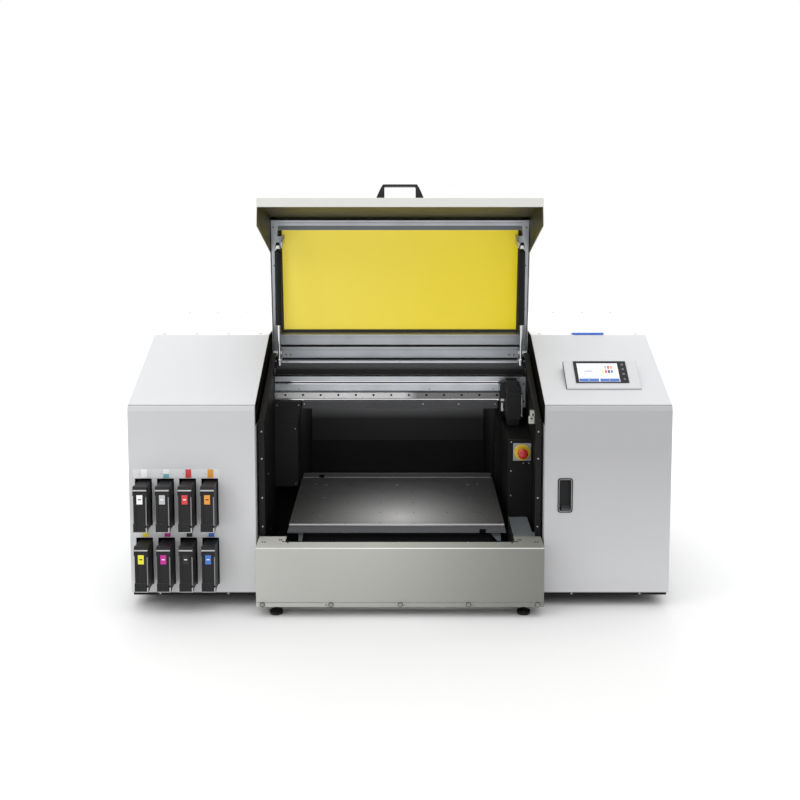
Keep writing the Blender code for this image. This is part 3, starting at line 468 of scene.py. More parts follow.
def boxes(bounds, name, body, slot, material=None, bevel=0.0, segments=2, local=Matrix.Identity(4)):
    """Piece made of plain blocks, each given by its six bounds."""
    shape = Shape(local)
    for block in bounds:
        shape.box(*block)
    shape.made(name, body, slot, material, bevel, segments)


def local_box(node):
    """Bounds of a CAD node with depths from the front of the cabinets."""
    low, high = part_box(node)
    return low.x, high.x, low.y - FRONT, high.y - FRONT, low.z, high.z


# CAD nodes

NODE_EDGES = {
    "cabinet_white": 0.0012, "tray_beige": 0.0015, "lid_white": 0.001, "aluminium": 0.001,
    "dark_grey_metal": 0.0008, "black_metal": 0.0007, "blue_grey_metal": 0.0007, "table_metal": 0.0006,
    "grey_plastic": 0.0006, "black_plastic": 0.0006, "steel": 0.0005}
CREASED_SLOTS = ("cabinet_white", "lid_white", "tray_beige")
OWN_MATERIAL = {
    # The rear inner panel, gantry rail, left front panel and door take finishes with painted light and shade.
    "service_cover": SERVICE_DARK, "service_hood": SERVICE_DARK, "rear_inner_panel": REAR_PANEL_SHADE,
    "gantry_rail": RAIL_HIGHLIGHT_STEEL, "print_head": BLACK_OXIDE, "lid_frame": LID_ALUMINIUM,
    "left_front_panel": LEFT_PANEL_LIGHT, "door_panel": DOOR_PANEL_LIGHT,
    **{f"cartridge_{ink}": CARTRIDGE for ink in INKS},
    **{f"foot_{place}_{side}": FOOT_BLACK
       for place in ("tray", "front", "back") for side in ("left", "right")}}


def dress_nodes():
    """Gives each CAD node its procedural material and small rounded edges."""
    for row in frame["record"]["subparts"]:
        node, slot = row["node"], row["material_slot"]
        obj = frame["nodes"][node]
        for held in obj.material_slots:
            held.link = "OBJECT"
            held.material = OWN_MATERIAL.get(node, MATS[slot])
        if slot not in NODE_EDGES or node == "door_handle":
            continue
        obj.modifiers.new("join", "WELD").merge_threshold = 0.00002
        flat = obj.modifiers.new("flats", "DECIMATE")
        flat.decimate_type = "DISSOLVE"
        flat.angle_limit = math.radians(0.5)
        creased = slot in CREASED_SLOTS or node.startswith("inner_side")
        edge = round_edges(obj, NODE_EDGES[slot], 2, math.radians(12 if creased else 42))
        edge.use_clamp_overlap = True
        obj.modifiers.new("normals", "WEIGHTED_NORMAL").keep_sharp = False


# Cabinets

def slope_height(depth):
    """Height of the cabinets' sloping roof at a depth behind their front."""
    return ROOF_FRONT_Z + (ROOF_BEND_Z - ROOF_FRONT_Z) / ROOF_BEND * depth


def cabinet_screws():
    screws = Shape()
    for node in ("left_roof", "right_roof"):
        x0, x1, _, y1, _, z1 = local_box(node)
        for share in (0.08, 0.36, 0.64, 0.92):
            x = x0 + (x1 - x0) * share
            screws.screw((x, ROOF_BEND + 0.02, z1), Z_AXIS, 0.0042, 0.0024)
            screws.screw((x, y1 - 0.012, z1), Z_AXIS, 0.0042, 0.0024)
    for node in ("left_cabinet_shell", "right_cabinet_shell"):
        x0, x1, _, y1, _, _ = local_box(node)
        for x in (x0 + 0.018, (x0 + x1) / 2, x1 - 0.018):
            for z in (0.07, 0.4, 0.735):
                screws.screw((x, y1, z), BACKWARD, 0.004, 0.0022)
    screws.made("cabinet_screws", "base", "steel", ZINC)


def roof_seams():
    """Dark line where each sloping roof meets the front fold."""
    front, back, half = 0.0074, 0.01, 0.0003
    outline = [(front, slope_height(front) - half), (back, slope_height(back) - half),
               (back, slope_height(back) + half), (front, slope_height(front) + half)]
    seams = Shape()
    for node in ("left_roof", "right_roof"):
        x0, x1 = local_box(node)[:2]
        seams.prism(outline, "x", x0 + 0.0008, x1 - 0.0008)
    seams.made("roof_seams", "base", "dark_grey_metal")


def bay_edge_liners():
    """Black strips on the cabinets' inner walls, just under the line of the roofs."""
    front, back, low, under = 0.01, 0.54, 0.56, 0.002
    outline = [(front, low), (back, low), (back, ROOF_BEND_Z - under), (ROOF_BEND, ROOF_BEND_Z - under),
               (front, slope_height(front) - under)]
    liners = Shape()
    for x0, x1 in ((-0.4356, -0.435), (0.435, 0.4356)):
        liners.prism(outline, "x", x0, x1)
    liners.made("bay_edge_liners", "base", "black_metal", HOLE)


def plinth_screws():
    bolts = Shape()
    for node in ("left_plinth", "right_plinth"):
        x0, x1, y0, _, z0, z1 = local_box(node)
        for share in (0.22, 0.78):
            bolts.screw((x0 + (x1 - x0) * share, y0, (z0 + z1) / 2), FORWARD, 0.0035, 0.002)
    bolts.made("plinth_screws", "base", "steel", ZINC)


def cabinet_vents():
    """Slots low on the outer sides and high on the backs."""
    vents = Shape()
    slot = VENT_HEIGHT / 2
    for sign in (-1, 1):
        outer = 0.818 * sign
        low, high = sorted((outer - 0.0011 * sign, outer - 0.0001 * sign))
        for i in range(9):
            z = 0.11 + VENT_STEP * i
            vents.prism(rounded(0.64, 0.78, z, z + VENT_HEIGHT, slot), "x", low, high)
    for i in range(9):
        z = 0.56 + VENT_STEP * i
        for x0 in (-0.7, 0.56):
            vents.prism(rounded(x0, x0 + 0.14, z, z + VENT_HEIGHT, slot), "y", 0.9001, 0.9006)
    vents.made("cabinet_vents", "base", "black_metal", HOLE)


def inlet_pins():
    x0, x1, _, y1, z0, z1 = local_box("power_inlet")
    x, z = (x0 + x1) / 2, (z0 + z1) / 2
    boxes([(x + dx - 0.001, x + dx + 0.001, y1 - 0.008, y1 - 0.002, z + dz - 0.003, z + dz + 0.003)
           for dx, dz in ((-0.01, -0.004), (0.01, -0.004), (0.0, 0.004))],
          "inlet_pins", "base", "steel", ZINC, 0.0003)


def panel_tags():
    """Pale strips above the cartridge slots, with one coloured tag for each ink."""
    boxes([(-0.8045, -0.544, -0.0003, 0.0, z + 0.0025, z + 0.0295) for z in (TAG_Z, TAG_Z - TAG_DROP)],
          "label_strips", "base", "cabinet_white", STRIP)
    dots = Shape()
    for index, ink in enumerate(INKS):
        row, column = divmod(index, 4)
        left, top = TAG_X + TAG_STEP * column, TAG_Z - TAG_DROP * row
        boxes([(left + 0.0193, left + 0.0368, -0.0007, -0.0003, top + 0.0028, top + 0.029)],
              f"tag_{ink}", "base", "cabinet_white", LABEL if ink == "gloss" else INK_MATS[ink], 0.0001, 1)
        dots.disc((left + 0.0135, -0.0003, top + 0.015), FORWARD, 0.0011)
    dots.made("tag_marks", "base", "black_plastic", HOLE)
    left = TAG_X + TAG_STEP
    boxes([(left + 0.0193, left + 0.0368, -0.001, -0.0007, TAG_Z + 0.0028, TAG_Z + 0.015)],
          "tag_gloss_band", "base", "cabinet_white", TEAL, 0.0001, 1)


def cartridge_details():
    """Trim shapes coloured as a painted highlight, grooves and label on each cartridge's front."""
    for ink in INKS:
        body = f"cartridge_{ink}"
        x0, x1, y0, _, z0, z1 = local_box(body)
        trim_highlight = Shape()
        trim_highlight.prism([(y0 - 0.0008, z1 - 0.0122), (y0 - 0.0008, z1 - 0.0093), (y0 + 0.0004, z1 - 0.0082),
                    (y0 + 0.001, z1 - 0.009), (y0 - 0.0001, z1 - 0.0122)], "x", x0 + 0.0006, x1 - 0.0006)
        trim_highlight.box(x0 + 0.001, x1 - 0.001, y0 - 0.0007, y0 - 0.0001, z0 + 0.0002, z0 + 0.0022)
        edge = Shape()
        edge.prism([(x1 - 0.0038, y0 - 0.0001), (x1 - 0.003, y0 - 0.0022), (x1 - 0.0004, y0 - 0.001),
                    (x1 - 0.0004, y0 - 0.0001)], "z", z0 + 0.0215, z1 - 0.03)
        edge.made(f"{body}_edge", body, "grey_plastic", DULL_ZINC, 0.0004)
        trim_highlight.prism([(y0 - 0.0012, z0 + 0.002), (y0 - 0.0012, z0 + 0.015), (y0 - 0.0001, z0 + 0.016),
                    (y0 - 0.0001, z0 + 0.001)], "x", x1 - 0.0042, x1 - 0.0004)
        trim_highlight.made(f"{body}_trim", body, "grey_plastic", PALE_GREY_HIGHLIGHT, 0.0004)
        boxes([(x0 + 0.0096, x0 + 0.0102, y0 - 0.0003, y0 - 0.00005, z0 + 0.004, z1 - 0.012),
               (x1 - 0.0062, x1 - 0.0018, y0 - 0.0014, y0 - 0.00005, z0 + 0.016, z0 + 0.0205)],
              f"{body}_grooves", body, "black_plastic", HOLE, 0.0001, 1)
        label = Shape()
        middle = (x0 + x1) / 2
        label.prism(rounded(middle - 0.0088, middle + 0.0088, z1 - 0.052, z1 - 0.024, 0.0008, 2), "y",
                    y0 - 0.0005, y0 - 0.0001)
        label.made(f"{body}_label", body, "cabinet_white", INK_MATS[ink])
        pale = ink in ("red", "magenta", "black", "cyan", "gloss")
        boxes([(middle - 0.0046, middle + 0.0046, y0 - 0.0007, y0 - 0.0004, z1 - 0.0392, z1 - 0.0362)],
              f"{body}_label_mark", body, "cabinet_white", LABEL if pale else HOLE)


def door_details():
    """Lip and slanted bottom of the finger cup."""
    x0, x1, _, _, z0, z1 = local_box("door_handle")
    lip = Shape()
    lip.ring(rounded(x0 + 0.0034, x1 - 0.0034, z0 + 0.0034, z1 - 0.0034, 0.006),
             rounded(x0 + 0.0046, x1 - 0.0046, z0 + 0.0046, z1 - 0.0046, 0.005), "y", -0.002, -0.0004)
    lip.made("door_cup_lip", "door", "black_plastic", MATS["grey_plastic"])
    wedge = Shape()
    wedge.prism([(0.017, z0 + 0.0045), (0.0178, z0 + 0.0045), (0.0178, z0 + 0.018), (0.0174, z0 + 0.018),
                 (0.002, z0 + 0.006), (0.002, z0 + 0.0045)], "x", x0 + 0.013, x1 - 0.005)
    wedge.prism([(0.001, z0 + 0.008), (0.0176, z0 + 0.008), (0.0176, z1 - 0.008), (0.001, z1 - 0.008)],
                "x", x0 + 0.0041, x0 + 0.0045)
    wedge.made("door_cup_wedge", "door", "black_plastic", CUP_GREY, 0.0004)


def screen_frame():
    """Local frame of the sloping screen: across, up the slope and out of its face."""
    rise = Vector((0.0, math.cos(SCREEN_TILT), math.sin(SCREEN_TILT)))
    out = Vector((0.0, -math.sin(SCREEN_TILT), math.cos(SCREEN_TILT)))
    return Matrix.Translation(SCREEN_ORIGIN) @ Matrix((X_AXIS, rise, out)).transposed().to_4x4()


def page_areas(areas, name, material, level=0.0003):
    """Thin blocks over shares of the display's width and height."""
    x0, x1 = local_box("touch_screen")[:2]
    left, width = x0 + 0.06 * (x1 - x0), 0.775 * (x1 - x0)
    low, height = SCREEN_LOW + 0.003, SCREEN_HIGH - SCREEN_LOW - 0.013
    face = SCREEN_FACE + level
    boxes([(left + u0 * width, left + u1 * width, low + v0 * height, low + v1 * height, face, face + 0.0002)
           for u0, u1, v0, v1 in areas], name, "base", "screen_glass", material, local=screen_frame())


def display_page():
    """White page with blue buttons, grey lines and a swatch for each ink."""
    page_areas([(0, 1, 0, 1)], "display_page", DISPLAY, 0.00005)
    page_areas([(0.01, 0.485, 0.012, 0.165), (0.52, 0.985, 0.012, 0.165), (0.17, 0.36, 0.56, 0.585)],
               "display_buttons", DISPLAY_BLUE)
    page_areas([(u - 0.01, u + 0.01, 0.07, 0.105) for u in (0.245, 0.745)],
               "display_button_marks", DISPLAY, 0.0006)
    page_areas([(0.494, 0.497, 0.17, 0.96), (0.04, 0.46, 0.235, 0.243), (0.54, 0.7, 0.235, 0.245),
                (0.78, 0.93, 0.235, 0.245), (0.16, 0.175, 0.36, 0.44)], "display_lines", DISPLAY_GREY)
    for index, ink in enumerate(INKS):
        row, column = divmod(index, 4)
        u, v = 0.6 + 0.072 * column, 0.7 - 0.225 * row
        material = lit(f"display_{ink}", INK_COLOURS[ink], 0.1)
        page_areas([(u, u + 0.046, v, v + 0.155)], f"display_ink_{ink}", material)


def panel_icons():
    """Round and square outlines in the dark margin beside the display."""
    x0, x1 = local_box("touch_screen")[:2]
    x = x0 + 0.925 * (x1 - x0)
    icons = Shape(screen_frame())
    for i, v in enumerate((0.16, 0.4, 0.62, 0.84)):
        y = SCREEN_LOW + v * (SCREEN_HIGH - SCREEN_LOW)
        size = 0.0032 if i % 2 else 0.0026
        outer = rounded(x - size, x + size, y - size, y + size, size * 0.98 if i % 2 else 0.001)
        inner = [(x + (px - x) * 0.6, y + (py - y) * 0.6) for px, py in outer]
        icons.ring(outer, inner, "z", SCREEN_FACE, SCREEN_FACE + 0.0002)
    icons.made("panel_icons", "base", "screen_glass", ICON)


def touch_panel_gap_shadow():
    """Painted shadow: dark line under the front and left edges of the housing, along the gap where it sits on
    the roof.
    """
    x0, x1 = local_box("touch_panel_housing")[:2]
    boxes([(x0 + 0.001, x1 - 0.001, -0.0012, 0.003, -0.0042, -0.0022),
           (x0 - 0.0012, x0 + 0.001, 0.001, 0.118, -0.006, -0.003)],
          "touch_panel_gap_shadow", "base", "black_plastic", HOLE, local=screen_frame())


# Middle

def tray_details():
    """Bolts on the tray's bottom flange, a painted shadow line along the flange, a painted highlight on its
    top bend, and holes and screws in its top.
    """
    _, _, y0, _, _, z1 = local_box("front_tray")
    strip = y0 + 0.0026
    bolts = Shape()
    for x in TRAY_BOLTS_X:
        bolts.hex_bolt((x, strip, TRAY_BOLTS_Z), FORWARD, 0.0046, 0.00262)
    for x in (-0.2195, 0.013, 0.219):
        bolts.screw((x, strip, TRAY_BOLTS_Z), FORWARD, 0.0032, 0.0016)
    bolts.made("tray_bolts", "base", "steel", DULL_ZINC)
    # Painted shadow: a dark line along the top edge of the bottom flange.
    boxes([(-0.4277, 0.4277, strip + 0.0008, strip + 0.0019, 0.0461, 0.0472)],
          "tray_flange_shadow_line", "base", "blue_grey_metal")
    # Painted highlight: a pale strip along the tray's top front bend.
    boxes([(-0.427, 0.427, strip + 0.0016, strip + 0.003, z1 - 0.0026, z1 + 0.0001)],
          "tray_bend_highlight", "base", "tray_beige", BEIGE_BEND_HIGHLIGHT, 0.0006)
    holes = Shape()
    for x in TRAY_BOLTS_X:
        holes.disc((x, strip, TRAY_BOLTS_Z), FORWARD, 0.0082)
    for sign in (-1, 1):
        for x, y in ((0.413, -0.034), (0.405, -0.034), (0.363, -0.016), (0.357, -0.016),
                     (0.351, -0.031), (0.3435, -0.031), (0.336, -0.04)):
            holes.disc((sign * x, y, z1), Z_AXIS, 0.0028, 0.001)
    holes.made("tray_holes", "base", "black_metal", HOLE)
    screws = Shape()
    for x in (-0.205, 0.0, 0.204):
        screws.screw((x, -0.038, z1), Z_AXIS, 0.003, 0.0016)
    screws.made("tray_screws", "base", "steel", ZINC)


def bay_screws():
    pale = Shape()
    for y in (0.47, 0.53):
        pale.screw((-0.35, y, 0.1), X_AXIS, 0.003, 0.0015)
    front = local_box("control_box")[2]
    for x, z in ((0.3585, 0.447), (0.398, 0.378), (0.416, 0.378), (0.358, 0.27), (0.358, 0.352)):
        pale.screw((x, front, z), FORWARD, 0.0026, 0.0014)
    for x, z in ((-0.356, 0.436), (-0.356, 0.245), (-0.418, 0.518), (-0.344, 0.518)):
        pale.screw((x, local_box("service_cover")[2], z), FORWARD, 0.0026, 0.0014)
    for sign in (-1, 1):
        for z in (0.24, 0.33, 0.452, 0.536):
            pale.screw((sign * 0.4195, local_box("inner_side_left")[2], z), FORWARD, 0.0026, 0.0014)
        for y, z in ((0.12, 0.14), (0.12, 0.3), (0.3, 0.14), (0.25, 0.34)):
            pale.screw((sign * 0.427, y, z), (-sign, 0, 0), 0.003, 0.0015)
    pale.made("bay_screws", "base", "steel", ZINC)


def interlock():
    """Pale connector with dark sockets on the bay's right wall."""
    boxes([(0.409, 0.4265, 0.196, 0.212, 0.518, 0.54), (0.413, 0.4265, 0.192, 0.212, 0.542, 0.56)],
          "interlock_connector", "base", "grey_plastic", PALE_PLASTIC, 0.0012)
    boxes([(0.4185, 0.4235, 0.1912, 0.1921, 0.5455, 0.5525),
           (0.414, 0.42, 0.1952, 0.1961, 0.533, 0.537)],
          "interlock_sockets", "base", "black_plastic", HOLE, 0.0003, 1)


def circle(radius, steps):
    """Outline round the stop button's axis."""
    x, z = STOP_CENTRE
    return rounded(x - radius, x + radius, z - radius, z + radius, radius, steps)


def stop_button_rings():
    """Yellow ring and dark collar around the stop button's stem."""
    back = local_box("estop_plate")[2]
    ring = Shape()
    ring.ring(circle(0.026, 10), circle(0.0104, 10), "y", back - 0.003, back)
    ring.made("estop_ring", "base", "yellow_acrylic", YELLOW_PLASTIC, 0.0003)
    collar = Shape()
    collar.ring(circle(0.0128, 8), circle(0.0098, 8), "y", back - 0.005, back - 0.0028)
    collar.made("estop_collar", "base", "black_plastic", BLACK_OXIDE, 0.0003)


def table_face():
    """Bounds of the table's flat face and its height, below the lip at its back."""
    x0, x1, y0, y1, _, top = local_box("table_plate")
    return x0, x1, y0, y1, top - TABLE_REAR_LIP


def table_marks():
    """Screws, small holes and the border line in the table's face."""
    x0, x1, y0, y1, z = table_face()
    bright = Shape()
    for x in (-0.25, -0.01, 0.23):
        for y in (0.135, 0.292, 0.435):
            bright.disc((x, y, z), Z_AXIS, 0.004, 0.0004)
    for x, y in ((-0.286, 0.444), (0.264, 0.444), (0.243, 0.134)):
        bright.disc((x, y, z), Z_AXIS, 0.0036, 0.0003)
    bright.made("table_screws", "table_top", "steel", ZINC, 0.0001, 1)
    dark = Shape()
    for i in range(6):
        for y in (0.041, 0.145, 0.243, 0.355, 0.456):
            dark.disc((x0 + 0.066 + 0.1056 * i, y, z), Z_AXIS, 0.0021, 0.0002)
    for y in (0.06, 0.15, 0.243, 0.34, 0.44):
        for x in (x0 + 0.01, x1 - 0.01):
            dark.disc((x, y, z), Z_AXIS, 0.0021, 0.0002)
    dark.made("table_holes", "table_top", "black_metal", HOLE)
    left, right = x0 + 0.02, x1 - 0.02
    boxes([(*bounds, z - 0.0001, z + 0.00015) for bounds in (
        (left - 0.0005, left + 0.0005, y0 + 0.02, y1 - 0.03),
        (right - 0.0005, right + 0.0005, y0 + 0.02, y1 - 0.03),
        (left, right, y0 + 0.019, y0 + 0.02), (left, right, y1 - 0.031, y1 - 0.03))],
          "table_border", "table_top", "dark_grey_metal")


def table_edges():
    """Painted highlights along the table's front and rear edges, its notches and lip, and the gussets under
    it.
    """
    x0, x1, y0, y1, z = table_face()
    # Painted highlight: pale strips along the table's front edge and in front of its rear lip.
    boxes([(x0 + 0.002, x1 - 0.002, y0 - 0.0004, y0 + 0.003, z - 0.0035, z + 0.0003)],
          "table_front_highlight", "table_top", "steel", PALE_GREY_HIGHLIGHT, 0.0003)
    boxes([(-0.28, -0.263, y1 - 0.0135, y1 - 0.0119, z + 0.0004, z + 0.0095),
           (0.243, 0.262, y0 - 0.0056, y0 - 0.0036, z - 0.026, z - 0.014)],
          "table_notches", "table_top", "black_metal", HOLE)
    lip = Shape()
    lip.prism([(y0 - 0.0052, z - 0.0262), (y0 - 0.0052, z - 0.023), (y0 - 0.0044, z - 0.023),
               (y0 - 0.0044, z - 0.0262)], "x", x0 - 0.003, 0.241)
    lip.made("table_skirt_lip", "table_top", "dark_grey_metal", bevel=0.0003)
    boxes([(x0 + 0.004, x1 - 0.004, y1 - 0.013, y1 - 0.0122, z + 0.0001, z + 0.0012)],
          "table_rear_highlight", "table_top", "steel", PALE_GREY_HIGHLIGHT)
    gussets = Shape()
    gussets.prism([(0.274, 0.2195), (0.308, 0.2195), (0.31, 0.19), (0.298, 0.19)], "y", 0.043, 0.046)
    gussets.prism([(-0.3115, 0.2195), (-0.295, 0.2195), (-0.301, 0.19), (-0.3115, 0.19)], "y",
                  0.043, 0.046)
    gussets.made("table_gussets", "table_top", "blue_grey_metal", bevel=0.0006)


# Gantry

def rail_details():
    """Screw holes at a 60 mm pitch and the bright strip below them."""
    _, _, front, _, z0, z1 = local_box("gantry_rail")
    holes = Shape()
    for i in range(14):
        holes.disc((-0.39 + 0.06 * i, front, (z0 + z1) / 2 + 0.002), FORWARD, 0.0038)
    for x in (-0.345, 0.1, 0.318):
        holes.disc((x, 0.4745, 0.569), FORWARD, 0.0018, 0.0002)
    holes.made("rail_holes", "base", "black_metal", HOLE)
    boxes([(-0.4255, 0.338, 0.4672, 0.4679, 0.5315, 0.5365)],
          "rail_bright_strip", "base", "steel", CHROME, 0.0002)


def gantry_details():
    """Screws, dark joints, chrome highlight strips and the end plate of the gantry, and a painted shade plate
    over the hinge beam's web.
    """
    screws = Shape()
    for x in (-0.325, 0.078, 0.199, 0.322):
        screws.screw((x, 0.4525, 0.5222), FORWARD, 0.003, 0.0018)
    for x in (-0.38, -0.24, 0.0, 0.24, 0.38):
        screws.screw((x, 0.462, 0.6655), FORWARD, 0.002, 0.001)
    screws.made("gantry_screws", "base", "steel", ZINC)

    # Painted shade: dark plate in front of the hinge beam's web.
    boxes([(-0.4255, 0.4255, 0.4772, 0.4781, 0.617, 0.6604)],
          "hinge_beam_painted_shade", "base", "dark_grey_metal", HINGE_BEAM_SHADE)
    boxes([(-BAY_HALF, BAY_HALF, y, y + 0.0006, z0, z1) for y, z0, z1 in (
        (GANTRY_FACE, 0.589, 0.5929), (GANTRY_FACE, 0.5605, 0.563), (0.4618, 0.66, 0.6613),
        (GANTRY_FACE - 0.0002, 0.6122, 0.6152))], "gantry_lines", "base", "black_metal", HOLE)
    boxes([(-BAY_HALF, BAY_HALF, GANTRY_FACE - 0.0001, GANTRY_FACE + 0.0004, z, z + 0.0022)
           for z in (0.5932, 0.586)], "gantry_highlights", "base", "steel", CHROME)

    end_plate = Shape()
    outline = [(0.4045, 0.509), (0.4262, 0.509), (0.4262, 0.615), (0.414, 0.615), (0.4045, 0.605)]
    end_plate.prism(outline, "y", 0.456, 0.459)
    end_plate.made("gantry_end_plate", "base", "aluminium", bevel=0.0008)
    bolts = Shape()
    for z in (0.53, 0.59):
        bolts.screw((0.419, 0.456, z), FORWARD, 0.003, 0.0018)
    bolts.made("end_plate_screws", "base", "black_metal", BLACK_OXIDE)


def carriage_details():
    """Ribs, side bar, slider and roller on the print carriage, and the print head's nozzle rows."""
    boxes([(0.404, 0.4095, 0.386, 0.393, 0.489, 0.576)],
          "carriage_side_bar", "print_carriage", "steel", CHROME, 0.0012)
    ends = Shape()
    for z in (0.4915, 0.5735):
        ends.screw((0.4068, 0.386, z), FORWARD, 0.0026, 0.0016)
    ends.made("carriage_bar_screws", "print_carriage", "black_metal", BLACK_OXIDE)
    ribs = [(0.358 + 0.0048 * i, 0.3606 + 0.0048 * i, 0.3788, 0.38, 0.568, 0.577) for i in range(9)]
    boxes([*ribs, (0.3565, 0.402, 0.379, 0.38, 0.488, 0.4905)],
          "carriage_ribs", "print_carriage", "black_plastic", bevel=0.0004, segments=1)
    boxes([(0.34, 0.352, 0.4335, 0.4378, 0.536, 0.544),
           (0.342, 0.348, 0.4345, 0.4378, 0.506, 0.53)],
          "carriage_slider", "print_carriage", "grey_plastic", PALE_PLASTIC, 0.0008)
    rollers = Shape()
    rollers.lathe([(0.0, 0.0), (0.0048, 0.0), (0.0052, 0.0006), (0.0052, 0.005), (0.002, 0.0058),
                   (0.0, 0.0058)], (0.347, 0.438, 0.506), FORWARD, 20)
    rollers.made("carriage_roller", "print_carriage", "steel", ZINC)
    x0, _, y0, y1, z0, _ = local_box("print_head")
    boxes([(x, x + 0.003, y0 + 0.009, y1 - 0.009, z0 - 0.0003, z0 + 0.0002)
           for x in (x0 + 0.008, x0 + 0.015, x0 + 0.022, x0 + 0.029)],
          "print_head_nozzles", "print_carriage", "black_metal", HOLE)


# Lid

def swung_open():
    """Turn of the closed lid's coordinates to its open place."""
    turn = Matrix.Rotation(-LID_OPEN, 4, "X")
    return Matrix.Translation(HINGE) @ turn @ Matrix.Translation(-HINGE)


def lid_slope():
    """Local frame along and out from the open lid's sloping face."""
    ridge = Matrix.Translation((0.0, 0.0, LID_RIDGE_Z))
    return swung_open() @ ridge @ Matrix.Rotation(math.atan(LID_SLOPE), 4, "X")


def window_gasket():
    strips = ((-0.4065, 0.4065, 0.3826, 0.3925), (-0.4068, -0.3955, 0.0292, 0.3826),
              (0.3955, 0.4068, 0.0292, 0.3826))
    boxes([*[(*strip, LID_OUTER - 0.0012, LID_OUTER + 0.0004) for strip in strips],
           (-0.4065, 0.4065, 0.427, 0.4355, LID_OUTER - 0.004, LID_OUTER - 0.003)],
          "window_gasket", "lid", "rubber", GASKET, 0.0004, local=lid_slope())


def lid_frame_marks():
    """Grooves, slots and holes on the inner face of the lid's frame."""
    boxes([(-0.405, 0.405, s, s + wide, LID_INNER - 0.0002, LID_INNER + 0.0002) for s, wide in (
        (0.0035, 0.0012), (0.0215, 0.0012), (0.3995, 0.0007), (0.4445, 0.0007))],
          "lid_frame_grooves", "lid", "dark_grey_metal", local=lid_slope())
    slots = Shape(lid_slope())
    for sign in (-1, 1):
        for i in range(7):
            s = 0.07 + 0.045 * i
            slots.prism(rounded(sign * 0.4105 - 0.0009, sign * 0.4105 + 0.0009, s, s + 0.018, 0.0008, 2),
                        "z", LID_INNER - 0.0003, LID_INNER + 0.0002)
        for s in (0.02, 0.15, 0.3, 0.455):
            slots.disc((sign * 0.42, s, LID_INNER), (0, 0, -1), 0.0022, 0.0003)
        for x in (0.402, 0.388, 0.372):
            slots.disc((sign * x, 0.463, LID_INNER), (0, 0, -1), 0.0026, 0.0003)
        slots.disc((sign * 0.15, 0.0255, LID_INNER), (0, 0, -1), 0.0016, 0.0003)
    slots.made("lid_frame_holes", "lid", "black_metal", HOLE)


def lid_painted_shade():
    """Painted shade inside the lid's front and cheeks, as thin olive sheets with a painted yellow reflection,
    and the lip above the window.
    """
    boxes([(-0.43, 0.43, 0.0021, 0.0029, 0.2192, 0.606)],
          "lid_skirt_painted_shade", "lid", "lid_white", LID_SKIRT_SHADE, local=swung_open())
    cheek_shade = Shape(swung_open())
    for sign in (-1, 1):
        low, high = sorted((sign * 0.4299, sign * 0.4307))
        cheek_shade.prism([(0.003, 0.2192), (0.0838, 0.2192), (0.1165, 0.599), (0.115, 0.625),
                           (0.003, 0.608)], "x", low, high)
    cheek_shade.made("lid_cheek_painted_shade", "lid", "lid_white", LID_CHEEK_SHADE)
    boxes([(-0.4055, 0.4055, 0.014, 0.0286, LID_INNER - 0.0005, LID_INNER + 0.0002)],
          "lid_frame_lip", "lid", "blue_grey_metal", bevel=0.0002, local=lid_slope())


def lid_fittings():
    """Feet of the handle, corner caps and outer screws."""
    boxes([(x - 0.0145, x + 0.0145, -0.004, -0.0002, 0.2475, 0.2725) for x in (-0.0605, 0.0605)],
          "lid_handle_feet", "lid", "black_plastic", bevel=0.0012, local=swung_open())
    boxes([(x - 0.0125, x + 0.0125, -0.008, -0.0042, LID_INNER - 0.001, LID_OUTER)
           for x in (-0.4175, 0.4175)],
          "lid_corner_caps", "lid", "black_plastic", bevel=0.0008, local=lid_slope())
    outside = Shape(lid_slope())
    for x in (-0.418, 0.418):
        for s in (0.015, 0.2, 0.4):
            outside.screw((x, s, 0.0), Z_AXIS, 0.0036, 0.0018)
    outside.made("lid_screws", "lid", "steel", ZINC)


def spring_details():
    """End fittings and crimp rings of the gas springs."""
    for name, sign in (("left", -1), ("right", 1)):
        foot = Vector((sign * SPRING_X, *SPRING_FOOT))
        direction = Vector((sign * SPRING_X, *SPRING_HEAD)) - foot
        length = direction.length
        direction.normalize()
        stud = Shape()
        stud.lathe([(0.0, -0.0005), (0.006, 0.0), (0.008, 0.002), (0.008, 0.012), (0.0055, 0.016),
                    (0.0, 0.016)], foot + direction * 0.004, direction, 20)
        stud.made(f"spring_foot_{name}", f"spring_rod_{name}", "steel")
        collar = Shape()
        collar.lathe([(0.0, 0.0), (0.0102, 0.0), (0.0113, 0.001), (0.0113, 0.006), (0.0104, 0.0072),
                      (0.0, 0.0072)], foot + direction * 0.134, direction, 28)
        collar.lathe([(0.0, 0.0), (0.0105, 0.0), (0.0113, 0.001), (0.0113, 0.004), (0.0, 0.0042)],
                     foot + direction * (length - 0.029), direction, 28)
        collar.made(f"spring_collars_{name}", f"spring_tube_{name}", "black_metal")
        eye = Shape()
        eye.lathe([(0.0, 0.0), (0.0062, 0.0), (0.0078, 0.0016), (0.0078, 0.012), (0.006, 0.014),
                   (0.0, 0.014)], foot + direction * (length - 0.015), direction, 20)
        eye.made(f"spring_eye_{name}", f"spring_tube_{name}", "steel")


# Back

